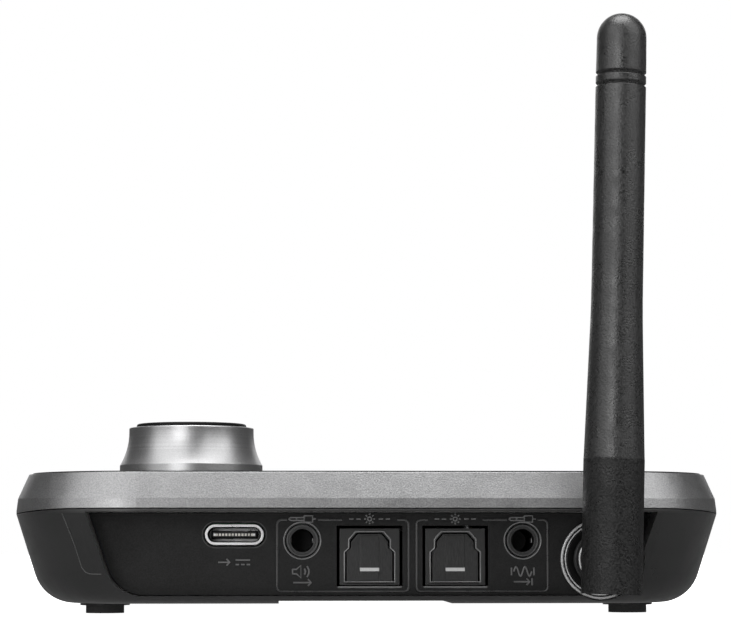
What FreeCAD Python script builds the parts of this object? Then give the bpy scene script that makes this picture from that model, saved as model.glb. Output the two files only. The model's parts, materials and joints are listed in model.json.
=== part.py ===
import FreeCAD
import Part
import Sketcher
import math
import os
import re

# Bluetooth audio transmitter and receiver, in millimetres.
# +Z is up, the front faces -Y, the sockets and the antenna are at the rear (+Y).
# The origin is the centre of the whole object's footprint, on the surface it stands on.

Vector = FreeCAD.Vector
Rotation = FreeCAD.Rotation

DIMENSIONS = {
    # case
    "body_width": 112.05,
    "body_depth": 114.0,
    "body_mid_y": -5.07,
    "corner_radius": 20.0,
    "underside_level": 1.7,
    "widest_level": 15.65,
    "side_seam_level": 15.4,
    "seam_level": 16.2,
    "seam_gap": 0.15,
    "seam_flat_half": 46.0,
    "rim_level": 21.9,
    "lower_taper": 18.0,
    "band_taper": 7.0,
    "chamfer_taper": 24.0,
    "top_inset_x": 1.92,
    "top_inset_y": 2.0,
    "lower_fillet": 6.4,
    "wall": 2.0,
    "cover_wall": 3.2,
    "cover_ceiling": 20.0,
    # top fascia
    "fascia_inset": 0.55,
    "fascia_gap": 0.08,
    "fascia_spare": 0.4,
    "fascia_floor": 21.3,
    "fascia_top": 22.1,
    # rear panel
    "panel_inset": 8.0,
    "panel_thickness": 2.0,
    "panel_edge_gap": 0.12,
    "recess_wall": 1.6,
    "recess_ceiling": 15.8,
    "recess_floor": 2.9,
    "recess_corner": 6.0,
    "recess_half_base": 39.4,
    "recess_half_top": 43.85,
    # feet and screws
    "foot_x": 42.0,
    "rear_foot_y": 30.0,
    "front_foot_y": -40.1,
    "foot_radius": 3.05,
    "foot_seat_radius": 3.95,
    "foot_seat_level": 1.25,
    "foot_plug_radius": 2.2,
    "foot_plug_top": 4.2,
    "slack": 0.1,
    "press_fit": 0.02,
    "screw_play": 0.15,
    "boss_radius": 3.9,
    "boss_root": 0.5,
    "boss_top": 13.75,
    "screw_ledge_level": 9.0,
    "screw_head_radius": 2.2,
    "screw_head_height": 1.7,
    "screw_drive_radius": 0.99,
    "screw_drive_depth": 1.02,
    "screw_shank_radius": 1.25,
    "screw_end_gap": 0.2,
    "screw_tip_level": 18.4,
    "cover_boss_radius": 2.9,
    "cover_boss_level": 13.85,
    "label_x": 0.8,
    "label_width": 27.0,
    "label_length": 70.0,
    "label_depth": 0.45,
    # main board
    "board_bottom": 13.95,
    "board_thickness": 1.6,
    "board_gap": 0.2,
    "board_half_x": 46.0,
    "board_front_y": -52.0,
    "board_notch_x": 17.0,
    "board_notch_y": 18.0,
    "board_post_x": 25.0,
    "board_post_front_y": -46.0,
    "board_post_rear_y": 17.0,
    "board_post_radius": 2.6,
    "board_screw_radius": 1.1,
    "board_screw_head_radius": 2.1,
    "board_screw_head_height": 1.2,
    "board_screw_length": 7.5,
    "can_radius": 2.0,
    "can_height": 5.4,
    # radio board and its lead
    "radio_x": -36.0,
    "radio_y": 6.0,
    "radio_width": 13.0,
    "radio_length": 20.0,
    "radio_thickness": 1.0,
    "shield_y": 3.5,
    "shield_width": 11.0,
    "shield_length": 13.0,
    "shield_height": 1.8,
    "plug_y": 11.7,
    "plug_radius": 1.3,
    "plug_height": 1.1,
    "lead_radius": 0.6,
    "lead_level": 12.05,
    "lead_bend_y": 21.0,
    "lead_end_setback": 1.2,
    "approach_side": 1.0,
    "approach_run": 9.0,
    "approach_rise": 1.5,
    # USB-C inlet
    "usb_x": 21.2,
    "usb_level": 12.35,
    "usb_width": 9.1,
    "usb_height": 3.18,
    "usb_shell_wall": 0.4,
    "usb_length": 7.6,
    "usb_proud": 0.35,
    "usb_opening_gap": 0.45,
    "tongue_width": 6.7,
    "tongue_thickness": 0.7,
    "tongue_setback": 0.9,
    "tongue_root_width": 7.3,
    "tongue_root_height": 1.2,
    "tongue_root_length": 1.6,
    # 3.5 mm jacks
    "output_jack_x": 10.67,
    "input_jack_x": -23.65,
    "jack_level": 11.45,
    "jack_bore_radius": 1.8,
    "jack_nozzle_radius": 2.5,
    "jack_width": 6.0,
    "jack_body_length": 11.5,
    "jack_bore_length": 12.5,
    "jack_proud": 0.15,
    "jack_ring_radius": 2.85,
    "jack_ring_depth": 0.35,
    "jack_half_height": 2.5,
    "spring_thickness": 0.3,
    "spring_drop": 1.0,
    "spring_width": 1.2,
    "spring_first": 2.0,
    "spring_pitch": 4.0,
    # optical sockets
    "output_optical_x": 0.2,
    "input_optical_x": -13.15,
    "optical_width": 9.3,
    "optical_low": 4.55,
    "optical_high": 13.3,
    "optical_depth": 13.5,
    "optical_setback": 0.3,
    "optical_opening_width": 10.25,
    "optical_opening_low": 4.4,
    "optical_opening_high": 13.75,
    "optical_face_thickness": 0.6,
    "port_low": 4.8,
    "port_high": 12.7,
    "port_half_low": 3.79,
    "port_half_mid": 3.1,
    "port_half_top": 1.92,
    "port_step_low": 9.8,
    "port_step_high": 10.4,
    "port_shoulder": 11.35,
    "door_gap": 0.24,
    "door_thickness": 0.5,
    "cavity_half": 4.1,
    "cavity_low": 4.9,
    "cavity_high": 12.95,
    "cavity_depth": 9.0,
    "emitter_depth": 3.0,
    "emitter_half": 3.0,
    "emitter_low": 6.0,
    "door_setback": 0.12,
    # antenna
    "antenna_x": -35.75,
    "antenna_level": 8.55,
    "antenna_stand_off": 13.5,
    "antenna_lean": 1.65,
    "bezel_radius": 6.25,
    "bezel_proud": 0.8,
    "bezel_floor": 0.35,
    "bezel_inner_radius": 5.4,
    "barrel_radius": 5.0,
    "disc_radius": 5.25,
    "disc_thickness": 0.45,
    "neck_radius": 3.9,
    "neck_length": 4.2,
    "shank_radius": 2.6,
    "shank_tail": 1.3,
    "waist_start": 0.9,
    "waist_width": 0.7,
    "waist_depth": 0.6,
    "retainer_radius": 4.2,
    "retainer_bore_radius": 2.1,
    "retainer_thickness": 0.5,
    "retainer_start": 0.8,
    "lead_way_radius": 0.8,
    "lug_root": 0.3,
    "lug_half": 1.7,
    "lug_radius": 3.35,
    "slot_half": 1.82,
    "slot_back": 3.55,
    "slot_top": 3.6,
    "knuckle_radius": 4.62,
    "knuckle_below": 5.2,
    "knuckle_above": 15.1,
    "pin_radius": 1.0,
    "pin_half": 3.75,
    "pin_clearance": 0.04,
    "sheath_spigot_radius": 3.2,
    "sheath_spigot_length": 6.0,
    "sheath_base_radius": 4.6,
    "sheath_radius": 3.92,
    "sheath_shoulder_radius": 3.97,
    "sheath_shoulder_level": 36.2,
    "sheath_taper_top": 39.2,
    "sheath_groove_edge": 3.86,
    "sheath_dome_radius": 3.8,
    "sheath_groove_low": 72.3,
    "sheath_groove_high": 73.95,
    "groove_half": 0.34,
    "groove_depth": 0.34,
    "sheath_tip": 83.5,
    "sheath_bore_radius": 2.2,
    "element_start": 2.0,
    "element_spare": 1.5,
    "element_radius": 1.5,
    "element_length": 58.0,
    # knob and encoder
    "knob_x": 29.75,
    "knob_y": -14.0,
    "knob_underside": 22.65,
    "knob_flange_radius": 12.75,
    "knob_flange_top": 25.05,
    "knob_rim_radius": 11.13,
    "knob_rim_low": 30.9,
    "knob_top": 31.75,
    "knob_flare_radius": 11.3,
    "knob_pocket_radius": 9.9,
    "knob_pocket_level": 31.0,
    "knob_hollow_radius": 9.2,
    "knob_hollow_level": 27.5,
    "knob_break": 0.12,
    "cap_radius": 9.8,
    "cap_round": 0.35,
    "cap_top": 32.45,
    "shaft_radius": 3.0,
    "shaft_top": 30.5,
    "shaft_tail_radius": 2.0,
    "bushing_radius": 3.5,
    "bushing_top": 24.25,
    "chamber_wall": 0.5,
    "dome_height": 0.2,
    "encoder_side": 12.0,
    "encoder_top": 19.8,
    "rotor_radius": 5.0,
    "rotor_thickness": 1.4,
    "nut_flats_radius": 5.77,
    "nut_thickness": 1.8,
    "press_travel": 0.5,
    "running_gap": 0.05,
    # display
    "display_x": -17.0,
    "display_y": -14.0,
    "display_width": 46.0,
    "display_depth": 19.0,
    "display_border": 0.5,
    "window_thickness": 0.9,
    "display_module_top": 21.1,
    "display_module_thickness": 1.6,
    # top keys, status lights and mode switch
    "key_first_x": -30.0,
    "key_pitch": 26.0,
    "key_y": -39.0,
    "key_radius": 4.5,
    "key_gap": 0.15,
    "key_proud": 0.25,
    "key_stem_radius": 1.6,
    "key_travel": 0.4,
    "key_play": 0.05,
    "switch_side": 6.0,
    "switch_height": 3.0,
    "light_first_x": -27.0,
    "light_pitch": 10.0,
    "light_y": 5.0,
    "light_radius": 0.9,
    "pipe_foot": 18.0,
    "lamp_length": 1.6,
    "lamp_width": 0.8,
    "lamp_height": 0.6,
    "mode_y": -22.0,
    "mode_level": 11.2,
    "mode_slot_length": 9.0,
    "mode_slot_height": 3.2,
    "mode_knob_length": 3.6,
    "mode_knob_height": 2.6,
    "mode_knob_reach": 54.3,
    "mode_travel": 2.0,
    "mode_cap_start": 50.4,
    "mode_case_x": 45.3,
    "mode_case_reach": 3.4,
    "mode_case_length": 9.0,
    "mode_case_height": 4.2,
    "mode_case_back": 1.0,
    "mode_window_length": 7.4,
    "mode_window_height": 1.9,
    "mode_stalk_x": 46.5,
    "mode_stalk_length": 1.6,
    "mode_stalk_height": 1.7,
}

# Recurring places, written as sheet expressions.
REAR = "(body_mid_y + body_depth / 2)"
PANEL = "(body_mid_y + body_depth / 2 - panel_inset)"
PANEL_BACK = "(body_mid_y + body_depth / 2 - panel_inset - panel_thickness)"
BOARD_TOP = "(board_bottom + board_thickness)"
OPTICAL_FACE = "(body_mid_y + body_depth / 2 - panel_inset - optical_setback)"
ANTENNA_Y = "(body_mid_y + body_depth / 2 - panel_inset + antenna_stand_off)"
JACK_FACE = "(body_mid_y + body_depth / 2 - panel_inset + jack_proud)"

# Parts hung under the main board: x, y, width, depth and height.
HUNG_PARTS = {
    "processor_chip": (2, -2, 9, 9, 0.9),
    "output_converter": (11, 14, 6, 4.4, 1.2),
    "input_converter": (-15, 14, 6, 4.4, 1.2),
    "regulator_chip": (27, 27, 4, 3, 1.1),
    "power_inductor": (34, 20, 5, 5, 3.2),
    "clock_crystal": (-8, -8, 3.2, 2.5, 0.8),
}
CAN_PLACES = (("18", "8"), ("23", "8"), ("-17", "22"), ("18", "2"))

AXIS_TURN = {
    "x": Rotation(Vector(0, 1, 0), 90),
    "y": Rotation(Vector(1, 0, 0), -90),
    "z": Rotation(),
}

document = FreeCAD.newDocument("audio_receiver")
sheet = document.addObject("Spreadsheet::Sheet", "dims")
for row, (alias, size) in enumerate(DIMENSIONS.items(), start=1):
    sheet.set("A%d" % row, alias)
    sheet.set("B%d" % row, str(size))
    sheet.setAlias("B%d" % row, alias)
document.recompute()

NAME = re.compile(r"[a-z][a-z_]+")
SAME = 1e-4
ARC_SHARE = 0.45
nodes = {}


def qualified(expression):
    """Sheet expression with each alias given its sheet's name."""
    return NAME.sub(lambda word: "dims." + word[0] if word[0] in DIMENSIONS else word[0],
                    str(expression))


def value(expression):
    """What a sheet expression comes to, in millimetres or degrees."""
    return float(sheet.evalExpression(qualified(expression)))


def bind(item, path, expression):
    item.setExpression(path, qualified(expression))


def put(item, at, axis="z"):
    """Turns an item so that its own Z runs along an axis, and binds its position."""
    item.Placement = FreeCAD.Placement(Vector(), AXIS_TURN[axis])
    for letter, place in zip("xyz", at):
        bind(item, "Placement.Base." + letter, place)
    return item


def box(name, low, size):
    """Box from its lowest corner; low and size are three expressions each."""
    item = document.addObject("Part::Box", name)
    for path, length in zip(("Length", "Width", "Height"), size):
        bind(item, path, length)
    return put(item, low)


def centred_box(name, middle, size):
    """Box centred in X and Y on a point, standing on the point's level."""
    low = ["%s - (%s) / 2" % (middle[i], size[i]) for i in range(2)]
    return box(name, (low[0], low[1], middle[2]), size)


def cylinder(name, radius, length, at, axis="z"):
    item = document.addObject("Part::Cylinder", name)
    bind(item, "Radius", radius)
    bind(item, "Height", length)
    return put(item, at, axis)


def cone(name, first_radius, last_radius, length, at, axis="z"):
    item = document.addObject("Part::Cone", name)
    bind(item, "Radius1", first_radius)
    bind(item, "Radius2", last_radius)
    bind(item, "Height", length)
    return put(item, at, axis)


def fuse(name, items):
    item = document.addObject("Part::MultiFuse", name)
    item.Shapes = items
    item.Refine = True
    return item


def common(name, items):
    item = document.addObject("Part::MultiCommon", name)
    item.Shapes = items
    return item


def cut(name, base, tools):
    """Base with one tool, or several tools together, taken away."""
    item = document.addObject("Part::Cut", name)
    item.Base = base
    item.Tool = tools[0] if len(tools) == 1 else fuse(name + "_tools", tools)
    return item


def group(name, items):
    """Separate solids that share one node."""
    item = document.addObject("Part::Compound", name)
    item.Links = items
    return item


def node(name, item):
    """Makes an item the finished sub-part of this name."""
    item.Label = name
    nodes[name] = item
    return item


def new_body(name):
    return document.addObject("PartDesign::Body", name + "_body")


def new_sketch(body, name, plane, level):
    """Sketch on one of the body's own origin planes, moved along its normal."""
    sketch = body.newObject("Sketcher::SketchObject", name + "_sketch")
    origin_plane = [item for item in body.Origin.OriginFeatures if item.Role == plane][0]
    sketch.AttachmentSupport = (origin_plane, [""])
    sketch.MapMode = "FlatFace"
    bind(sketch, "AttachmentOffset.Base.z", level)
    return sketch


def dimension(sketch, kind, first, second, length):
    """Horizontal or vertical distance between two sketch points, bound to the sheet."""
    index = sketch.addConstraint(Sketcher.Constraint(kind, *first, *second, value(length)))
    bind(sketch, "Constraints[%d]" % index, length)


def rounded_rectangle(body, name, width, depth, radius, level):
    """Rounded rectangle on the XY plane, centred on the case's middle."""
    sketch = new_sketch(body, name, "XY_Plane", level)
    bind(sketch, "AttachmentOffset.Base.y", "body_mid_y")
    half_x, half_y, turn = value(width) / 2, value(depth) / 2, value(radius)
    inner_x, inner_y = half_x - turn, half_y - turn

    def corner(sign_x, sign_y, start):
        circle = Part.Circle(Vector(sign_x * inner_x, sign_y * inner_y, 0), Vector(0, 0, 1), turn)
        return Part.ArcOfCircle(circle, math.radians(start), math.radians(start + 90))

    for edge in (
        Part.LineSegment(Vector(-inner_x, -half_y, 0), Vector(inner_x, -half_y, 0)),
        corner(1, -1, -90),
        Part.LineSegment(Vector(half_x, -inner_y, 0), Vector(half_x, inner_y, 0)),
        corner(1, 1, 0),
        Part.LineSegment(Vector(inner_x, half_y, 0), Vector(-inner_x, half_y, 0)),
        corner(-1, 1, 90),
        Part.LineSegment(Vector(-half_x, inner_y, 0), Vector(-half_x, -inner_y, 0)),
        corner(-1, -1, 180),
    ):
        sketch.addGeometry(edge)
    for index in range(8):
        sketch.addConstraint(Sketcher.Constraint("Tangent", index, 2, (index + 1) % 8, 1))
    for index in (0, 4):
        sketch.addConstraint(Sketcher.Constraint("Horizontal", index))
        sketch.addConstraint(Sketcher.Constraint("Vertical", index + 2))
    for index in (3, 5, 7):
        sketch.addConstraint(Sketcher.Constraint("Equal", 1, index))
    rounding = sketch.addConstraint(Sketcher.Constraint("Radius", 1, turn))
    bind(sketch, "Constraints[%d]" % rounding, radius)
    middle = (-1, 1)
    dimension(sketch, "DistanceX", middle, (2, 1), "(%s) / 2" % width)
    dimension(sketch, "DistanceX", (6, 1), middle, "(%s) / 2" % width)
    dimension(sketch, "DistanceY", middle, (4, 1), "(%s) / 2" % depth)
    dimension(sketch, "DistanceY", (0, 1), middle, "(%s) / 2" % depth)
    return sketch


def bound_edge(start, end, bend):
    """Line, or arc of a radius whose centre is left (+1) or right (-1) of the way."""
    if bend is None:
        return Part.LineSegment(start, end), (1, 2)
    radius, side = value(bend[0]), bend[1]
    chord = end - start
    rise = math.sqrt(max(radius ** 2 - (chord.Length / 2) ** 2, 0))
    normal = Vector(-chord.y, chord.x, 0).normalize()
    centre = (start + end) * 0.5 + normal * rise * side
    first, last = (start, end) if side > 0 else (end, start)
    angles = [math.atan2(point.y - centre.y, point.x - centre.x) for point in (first, last)]
    circle = Part.Circle(centre, Vector(0, 0, 1), radius)
    return Part.ArcOfCircle(circle, *angles), (1, 2) if side > 0 else (2, 1)


def outline(body, name, plane, corners, level="0", arcs=None):
    """Closed outline whose corners and arc radii are bound to the sheet.

    arcs gives, for the edge that leaves a corner, its radius and the side of its centre.
    """
    arcs = arcs or {}
    sketch = new_sketch(body, name, plane, level)
    points = [Vector(value(across), value(up), 0) for across, up in corners]
    count = len(points)
    ends = []
    for index in range(count):
        edge, order = bound_edge(points[index], points[(index + 1) % count], arcs.get(index))
        sketch.addGeometry(edge)
        ends.append(order)
    for index in range(count):
        following = (index + 1) % count
        sketch.addConstraint(Sketcher.Constraint(
            "Coincident", index, ends[index][1], following, ends[following][0]))
    for index, (across, up) in enumerate(corners):
        here = (index, ends[index][0])
        for kind, axis, place in (("DistanceX", -2, across), ("DistanceY", -1, up)):
            length = value(place)
            if abs(length) < SAME:
                sketch.addConstraint(Sketcher.Constraint("PointOnObject", *here, axis))
            elif length > 0:
                dimension(sketch, kind, (-1, 1), here, place)
            else:
                dimension(sketch, kind, here, (-1, 1), "-(%s)" % place)
    for index, (radius, _) in arcs.items():
        rounding = sketch.addConstraint(Sketcher.Constraint("Radius", index, value(radius)))
        bind(sketch, "Constraints[%d]" % rounding, radius)
    return sketch


def pad(body, name, sketch, length, taper="0", downward=False):
    """Pad; a negative taper narrows it away from its sketch."""
    item = body.newObject("PartDesign::Pad", name + "_pad")
    item.Profile = sketch
    bind(item, "Length", length)
    bind(item, "TaperAngle", taper)
    item.Reversed = downward
    return item


def revolve(body, name, sketch):
    """Full turn of a sketch about the body's own Z axis."""
    item = body.newObject("PartDesign::Revolution", name + "_turn")
    item.Profile = sketch
    item.ReferenceAxis = (sketch, ["V_Axis"])
    item.Angle = 360
    return item


def round_edges(body, name, base, radius, chosen):
    """Fillet on the edges of a feature that a test picks out."""
    document.recompute()
    edges = ["Edge%d" % (index + 1) for index, edge in enumerate(base.Shape.Edges) if chosen(edge)]
    item = body.newObject("PartDesign::Fillet", name + "_fillet")
    item.Base = (base, edges)
    bind(item, "Radius", radius)
    return item


def at_level(level):
    """Test for an edge that lies flat at one level."""
    return lambda edge: max(abs(edge.BoundBox.ZMax - level), abs(edge.BoundBox.ZMin - level)) < SAME


def slab(name, width, depth, radius, level, length, taper="0", downward=False):
    """Rounded rectangular slab, straight or tapered."""
    body = new_body(name)
    sketch = rounded_rectangle(body, name, width, depth, radius, level)
    pad(body, name, sketch, length, taper, downward)
    return body


def lower_form(name, inset, bottom, fillet):
    """The lower case's tapered, round-edged form, inset all round."""
    body = new_body(name)
    sketch = rounded_rectangle(
        body, name, "body_width - 2 * (%s)" % inset, "body_depth - 2 * (%s)" % inset,
        "corner_radius - (%s)" % inset, "widest_level")
    tapered = pad(body, name, sketch, "widest_level - (%s)" % bottom, "-lower_taper", True)
    round_edges(body, name, tapered, fillet, at_level(value(bottom)))
    return body


def turned(name, corners, arcs=None):
    """Body turned about its own Z axis from an outline in its XZ plane."""
    body = new_body(name)
    revolve(body, name, outline(body, name, "XZ_Plane", corners, arcs=arcs))
    return body


def prism(name, corners, from_y, length, arcs=None):
    """Outline in X and Z, extruded towards the front from a given Y."""
    body = new_body(name)
    sketch = outline(body, name, "XZ_Plane", corners, "-(%s)" % from_y, arcs)
    pad(body, name, sketch, length)
    return body


def foot_places():
    for side in ("-", ""):
        for place in ("front_foot_y", "rear_foot_y"):
            yield side + "foot_x", place


def board_post_places():
    for side in ("-", ""):
        for place in ("board_post_front_y", "board_post_rear_y"):
            yield side + "board_post_x", place


def below_seam(name, drop):
    """Everything below the line where cover and housing part; the line dips at the sides."""
    seam = "seam_level - (%s)" % drop
    side = "side_seam_level - (%s)" % drop
    reach = "body_width / 2 + 1"
    dip = "((%s - seam_flat_half) ^ 2 + (seam_level - side_seam_level) ^ 2)" % reach
    radius = dip + " / (2 * (seam_level - side_seam_level))"
    return prism(
        name,
        [("-(%s)" % reach, "side_seam_level - 4"), (reach, "side_seam_level - 4"), (reach, side),
         ("seam_flat_half", seam), ("-seam_flat_half", seam), ("-(%s)" % reach, side)],
        REAR + " + 1", "body_depth + 2", {2: (radius, 1), 4: (radius, 1)})


def port_outline(centre, gap):
    """Outline of a square optical port: a stepped opening with two cut corners."""
    cut_gap = "(%s) * tan(22.5)" % gap
    half = [
        ("port_half_low - (%s)" % gap, "port_low + (%s)" % gap),
        ("port_half_low - (%s)" % gap, "port_step_low - (%s) / 2" % gap),
        ("port_half_mid - (%s)" % gap, "port_step_high - (%s) / 2" % gap),
        ("port_half_mid - (%s)" % gap, "port_shoulder - %s" % cut_gap),
        ("port_half_top - %s" % cut_gap, "port_high - (%s)" % gap),
    ]
    right = [("%s + %s" % (centre, across), up) for across, up in half]
    left = [("%s - (%s)" % (centre, across), up) for across, up in reversed(half)]
    return right + left


def outer_form(name):
    """Outside of the lower housing, up to the line where the cover starts."""
    form = lower_form(name + "_form", "0", "underside_level", "lower_fillet")
    collar = slab(name + "_collar", "body_width", "body_depth", "corner_radius",
                  "widest_level", "seam_level - widest_level")
    rim = common(name + "_rim", [collar, below_seam(name + "_rim_limit", "0")])
    return fuse(name + "_outside", [form, rim])


def make_housing():
    """Black lower moulding with its bosses, posts, foot seats and rear recess."""
    seats = [cylinder("foot_seat", "foot_seat_radius", "wall", (x, y, "foot_seat_level"))
             for x, y in foot_places()]
    outer = fuse("housing_outer", [outer_form("housing")] + seats)
    hollow = lower_form("housing_hollow", "wall", "underside_level + wall", "lower_fillet - wall")
    mouth = slab("housing_mouth", "body_width - 2 * wall", "body_depth - 2 * wall",
                 "corner_radius - wall", "widest_level", "seam_level - widest_level + 1")
    surround = recess_block("recess_surround", "-recess_wall", REAR, "panel_inset + panel_thickness")
    walls = common("recess_walls", [outer_form("recess_limit"), surround])
    recess = recess_block("rear_recess", "0", REAR + " + 1", "panel_inset + panel_thickness + 2")
    hollowed = cut("housing_hollowed", outer, [hollow, mouth])
    shell = cut("housing_shell", fuse("housing_walled", [hollowed, walls]), [recess])
    bosses = [cylinder("case_boss", "boss_radius", "boss_top - foot_seat_level - boss_root",
                       (x, y, "foot_seat_level + boss_root")) for x, y in foot_places()]
    posts = [cylinder("board_post", "board_post_radius", "board_bottom - underside_level - 1",
                      (x, y, "underside_level + 1")) for x, y in board_post_places()]
    holes = []
    for x, y in foot_places():
        holes.append(cylinder("head_bore", "foot_plug_radius + slack",
                              "screw_ledge_level - foot_seat_level + 1", (x, y, "foot_seat_level - 1")))
        holes.append(cylinder("case_screw_hole", "screw_shank_radius + screw_play",
                              "boss_top - screw_ledge_level + 1", (x, y, "screw_ledge_level")))
    for x, y in board_post_places():
        holes.append(cylinder("board_screw_hole", "board_screw_radius + press_fit",
                              "board_screw_length",
                              (x, y, BOARD_TOP + " - board_screw_length - screw_end_gap")))
    holes.append(cylinder("swivel_well", "bezel_radius + panel_edge_gap", "panel_inset + 1",
                          ("antenna_x", PANEL + " - panel_edge_gap", "antenna_level"), "y"))
    holes.append(cylinder("barrel_way", "barrel_radius + panel_edge_gap", "panel_thickness",
                          ("antenna_x", PANEL_BACK + " - panel_edge_gap", "antenna_level"), "y"))
    holes.append(centred_box("label_recess", ("label_x", REAR + " - label_length / 2", "underside_level - 1"),
                             ("label_width", "label_length", "label_depth + 1")))
    holes.append(box("mode_slot", ("mode_case_x", "mode_y - mode_slot_length / 2",
                                   "mode_level - mode_slot_height / 2"),
                     ("body_width / 2 - mode_case_x + 1", "mode_slot_length", "mode_slot_height")))
    node("lower_housing", cut("lower_housing", fuse("housing_solid", [shell] + bosses + posts), holes))


def recess_block(name, gap, from_y, length):
    """The rear recess's form: straight sides that lean outwards, and round lower corners."""
    base = "recess_half_base - (%s)" % gap
    top = "recess_half_top - (%s)" % gap
    ceiling = "recess_ceiling - (%s)" % gap
    floor = "recess_floor + (%s)" % gap
    body = new_body(name)
    sketch = outline(body, name, "XZ_Plane", [("-(%s)" % base, floor), (base, floor),
                                              (top, ceiling), ("-(%s)" % top, ceiling)],
                     "-(%s)" % from_y)
    block = pad(body, name, sketch, length)
    on_floor = at_level(value(floor))
    round_edges(body, name, block, "recess_corner - (%s)" % gap,
                lambda edge: on_floor(edge) and edge.BoundBox.XLength < SAME)
    return body


def make_rear_panel():
    """Flat insert of the rear recess, with an opening for each socket."""
    plate = recess_block("panel_plate", "panel_edge_gap", PANEL, "panel_thickness")
    openings = [oblong("usb_opening", "usb_width + 2 * usb_opening_gap",
                       "usb_height + 2 * usb_opening_gap", PANEL_BACK + " - 1", "panel_thickness + 2")]
    for x in ("output_jack_x", "input_jack_x"):
        openings.append(cylinder("jack_opening", "jack_nozzle_radius + slack", "panel_thickness + 2",
                                 (x, PANEL_BACK + " - 1", "jack_level"), "y"))
        openings.append(cone("jack_ring", "jack_nozzle_radius + slack", "jack_ring_radius",
                             "jack_ring_depth", (x, PANEL + " - jack_ring_depth", "jack_level"), "y"))
    for x in ("output_optical_x", "input_optical_x"):
        openings.append(box("optical_opening",
                            (x + " - optical_opening_width / 2", PANEL_BACK + " - 1", "optical_opening_low"),
                            ("optical_opening_width", "panel_thickness + 2",
                             "optical_opening_high - optical_opening_low")))
    openings.append(cylinder("swivel_opening", "barrel_radius + press_fit", "panel_thickness + 2",
                             ("antenna_x", PANEL_BACK + " - 1", "antenna_level"), "y"))
    node("rear_panel", cut("rear_panel", plate, openings))


def oblong(name, width, height, from_y, length):
    """Flat-sided bar with round ends along X, running along Y at the USB-C inlet."""
    reach = "((%s) - (%s)) / 2" % (width, height)
    ends = [cylinder(name + "_end", "(%s) / 2" % height, length,
                     ("usb_x %s %s" % (sign, reach), from_y, "usb_level"), "y") for sign in "-+"]
    middle = box(name + "_middle", ("usb_x - " + reach, from_y, "usb_level - (%s) / 2" % height),
                 ("(%s) - (%s)" % (width, height), length, height))
    return fuse(name, ends + [middle])


def make_cover():
    """Grey upper cover: a sloped band below, a steeper chamfer above, open underneath."""
    collar = slab("cover_collar", "body_width", "body_depth", "corner_radius",
                  "side_seam_level", "seam_level - side_seam_level")
    band = slab("cover_band", "body_width", "body_depth", "corner_radius",
                "seam_level", "rim_level - seam_level", "-band_taper")
    chamfer = slab("cover_chamfer", "body_width - 2 * top_inset_x", "body_depth - 2 * top_inset_y",
                   "corner_radius - top_inset_x", "rim_level", "rim_level - seam_level",
                   "chamfer_taper", True)
    outer = fuse("cover_outer", [collar, common("cover_upper", [band, chamfer])])
    hollow = slab("cover_hollow", "body_width - 2 * cover_wall", "body_depth - 2 * cover_wall",
                  "corner_radius - cover_wall", "side_seam_level - 1",
                  "cover_ceiling - side_seam_level + 1")
    floor = slab("cover_floor", "body_width - 2 * top_inset_x - 2 * fascia_inset",
                 "body_depth - 2 * top_inset_y - 2 * fascia_inset",
                 "corner_radius - top_inset_x - fascia_inset", "fascia_floor", "2")
    shell = cut("cover_shell", outer, [hollow, floor, below_seam("cover_limit", "-seam_gap")])
    bosses = [cylinder("cover_boss", "cover_boss_radius", "cover_ceiling - cover_boss_level + boss_root",
                       (x, y, "cover_boss_level")) for x, y in foot_places()]
    holes = [cylinder("cover_pilot", "screw_shank_radius + press_fit",
                      "screw_tip_level - cover_boss_level + screw_end_gap + 1",
                      (x, y, "cover_boss_level - 1"))
             for x, y in foot_places()]
    holes += top_holes("cover", "fascia_floor - cover_ceiling + 2", "cover_ceiling - 1",
                       "fascia_spare")
    node("top_cover", cut("top_cover", fuse("cover_solid", [shell] + bosses), holes))


def key_places():
    return ["key_first_x + %d * key_pitch" % index for index in range(2)]


def light_places():
    return ["light_first_x + %d * light_pitch" % index for index in range(3)]


def top_holes(prefix, length, level, spare):
    """Holes for the encoder bushing, display, keys and lights, wider by a spare margin."""
    holes = [cylinder(prefix + "_shaft_hole", "bushing_radius + slack + %s" % spare, length,
                      ("knob_x", "knob_y", level))]
    holes.append(centred_box(prefix + "_display_hole", ("display_x", "display_y", level),
                             ("display_width + 2 * %s" % spare, "display_depth + 2 * %s" % spare, length)))
    for x in key_places():
        holes.append(cylinder(prefix + "_key_hole", "key_radius + key_gap + %s" % spare, length,
                              (x, "key_y", level)))
    for x in light_places():
        holes.append(cylinder(prefix + "_light_hole", "light_radius + press_fit + %s" % spare, length,
                              (x, "light_y", level)))
    return holes


def make_fascia():
    """Thin dark plate let into the cover's top, standing slightly proud."""
    gap = "fascia_inset + fascia_gap"
    plate = slab("fascia_plate", "body_width - 2 * top_inset_x - 2 * (%s)" % gap,
                 "body_depth - 2 * top_inset_y - 2 * (%s)" % gap,
                 "corner_radius - top_inset_x - (%s)" % gap, "fascia_floor", "fascia_top - fascia_floor")
    node("top_fascia", cut("top_fascia", plate, top_holes("fascia", "3", "fascia_floor - 1", "0")))
    node("display_window", centred_box(
        "display_window", ("display_x", "display_y", "fascia_top - window_thickness"),
        ("display_width - slack", "display_depth - slack", "window_thickness")))


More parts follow.
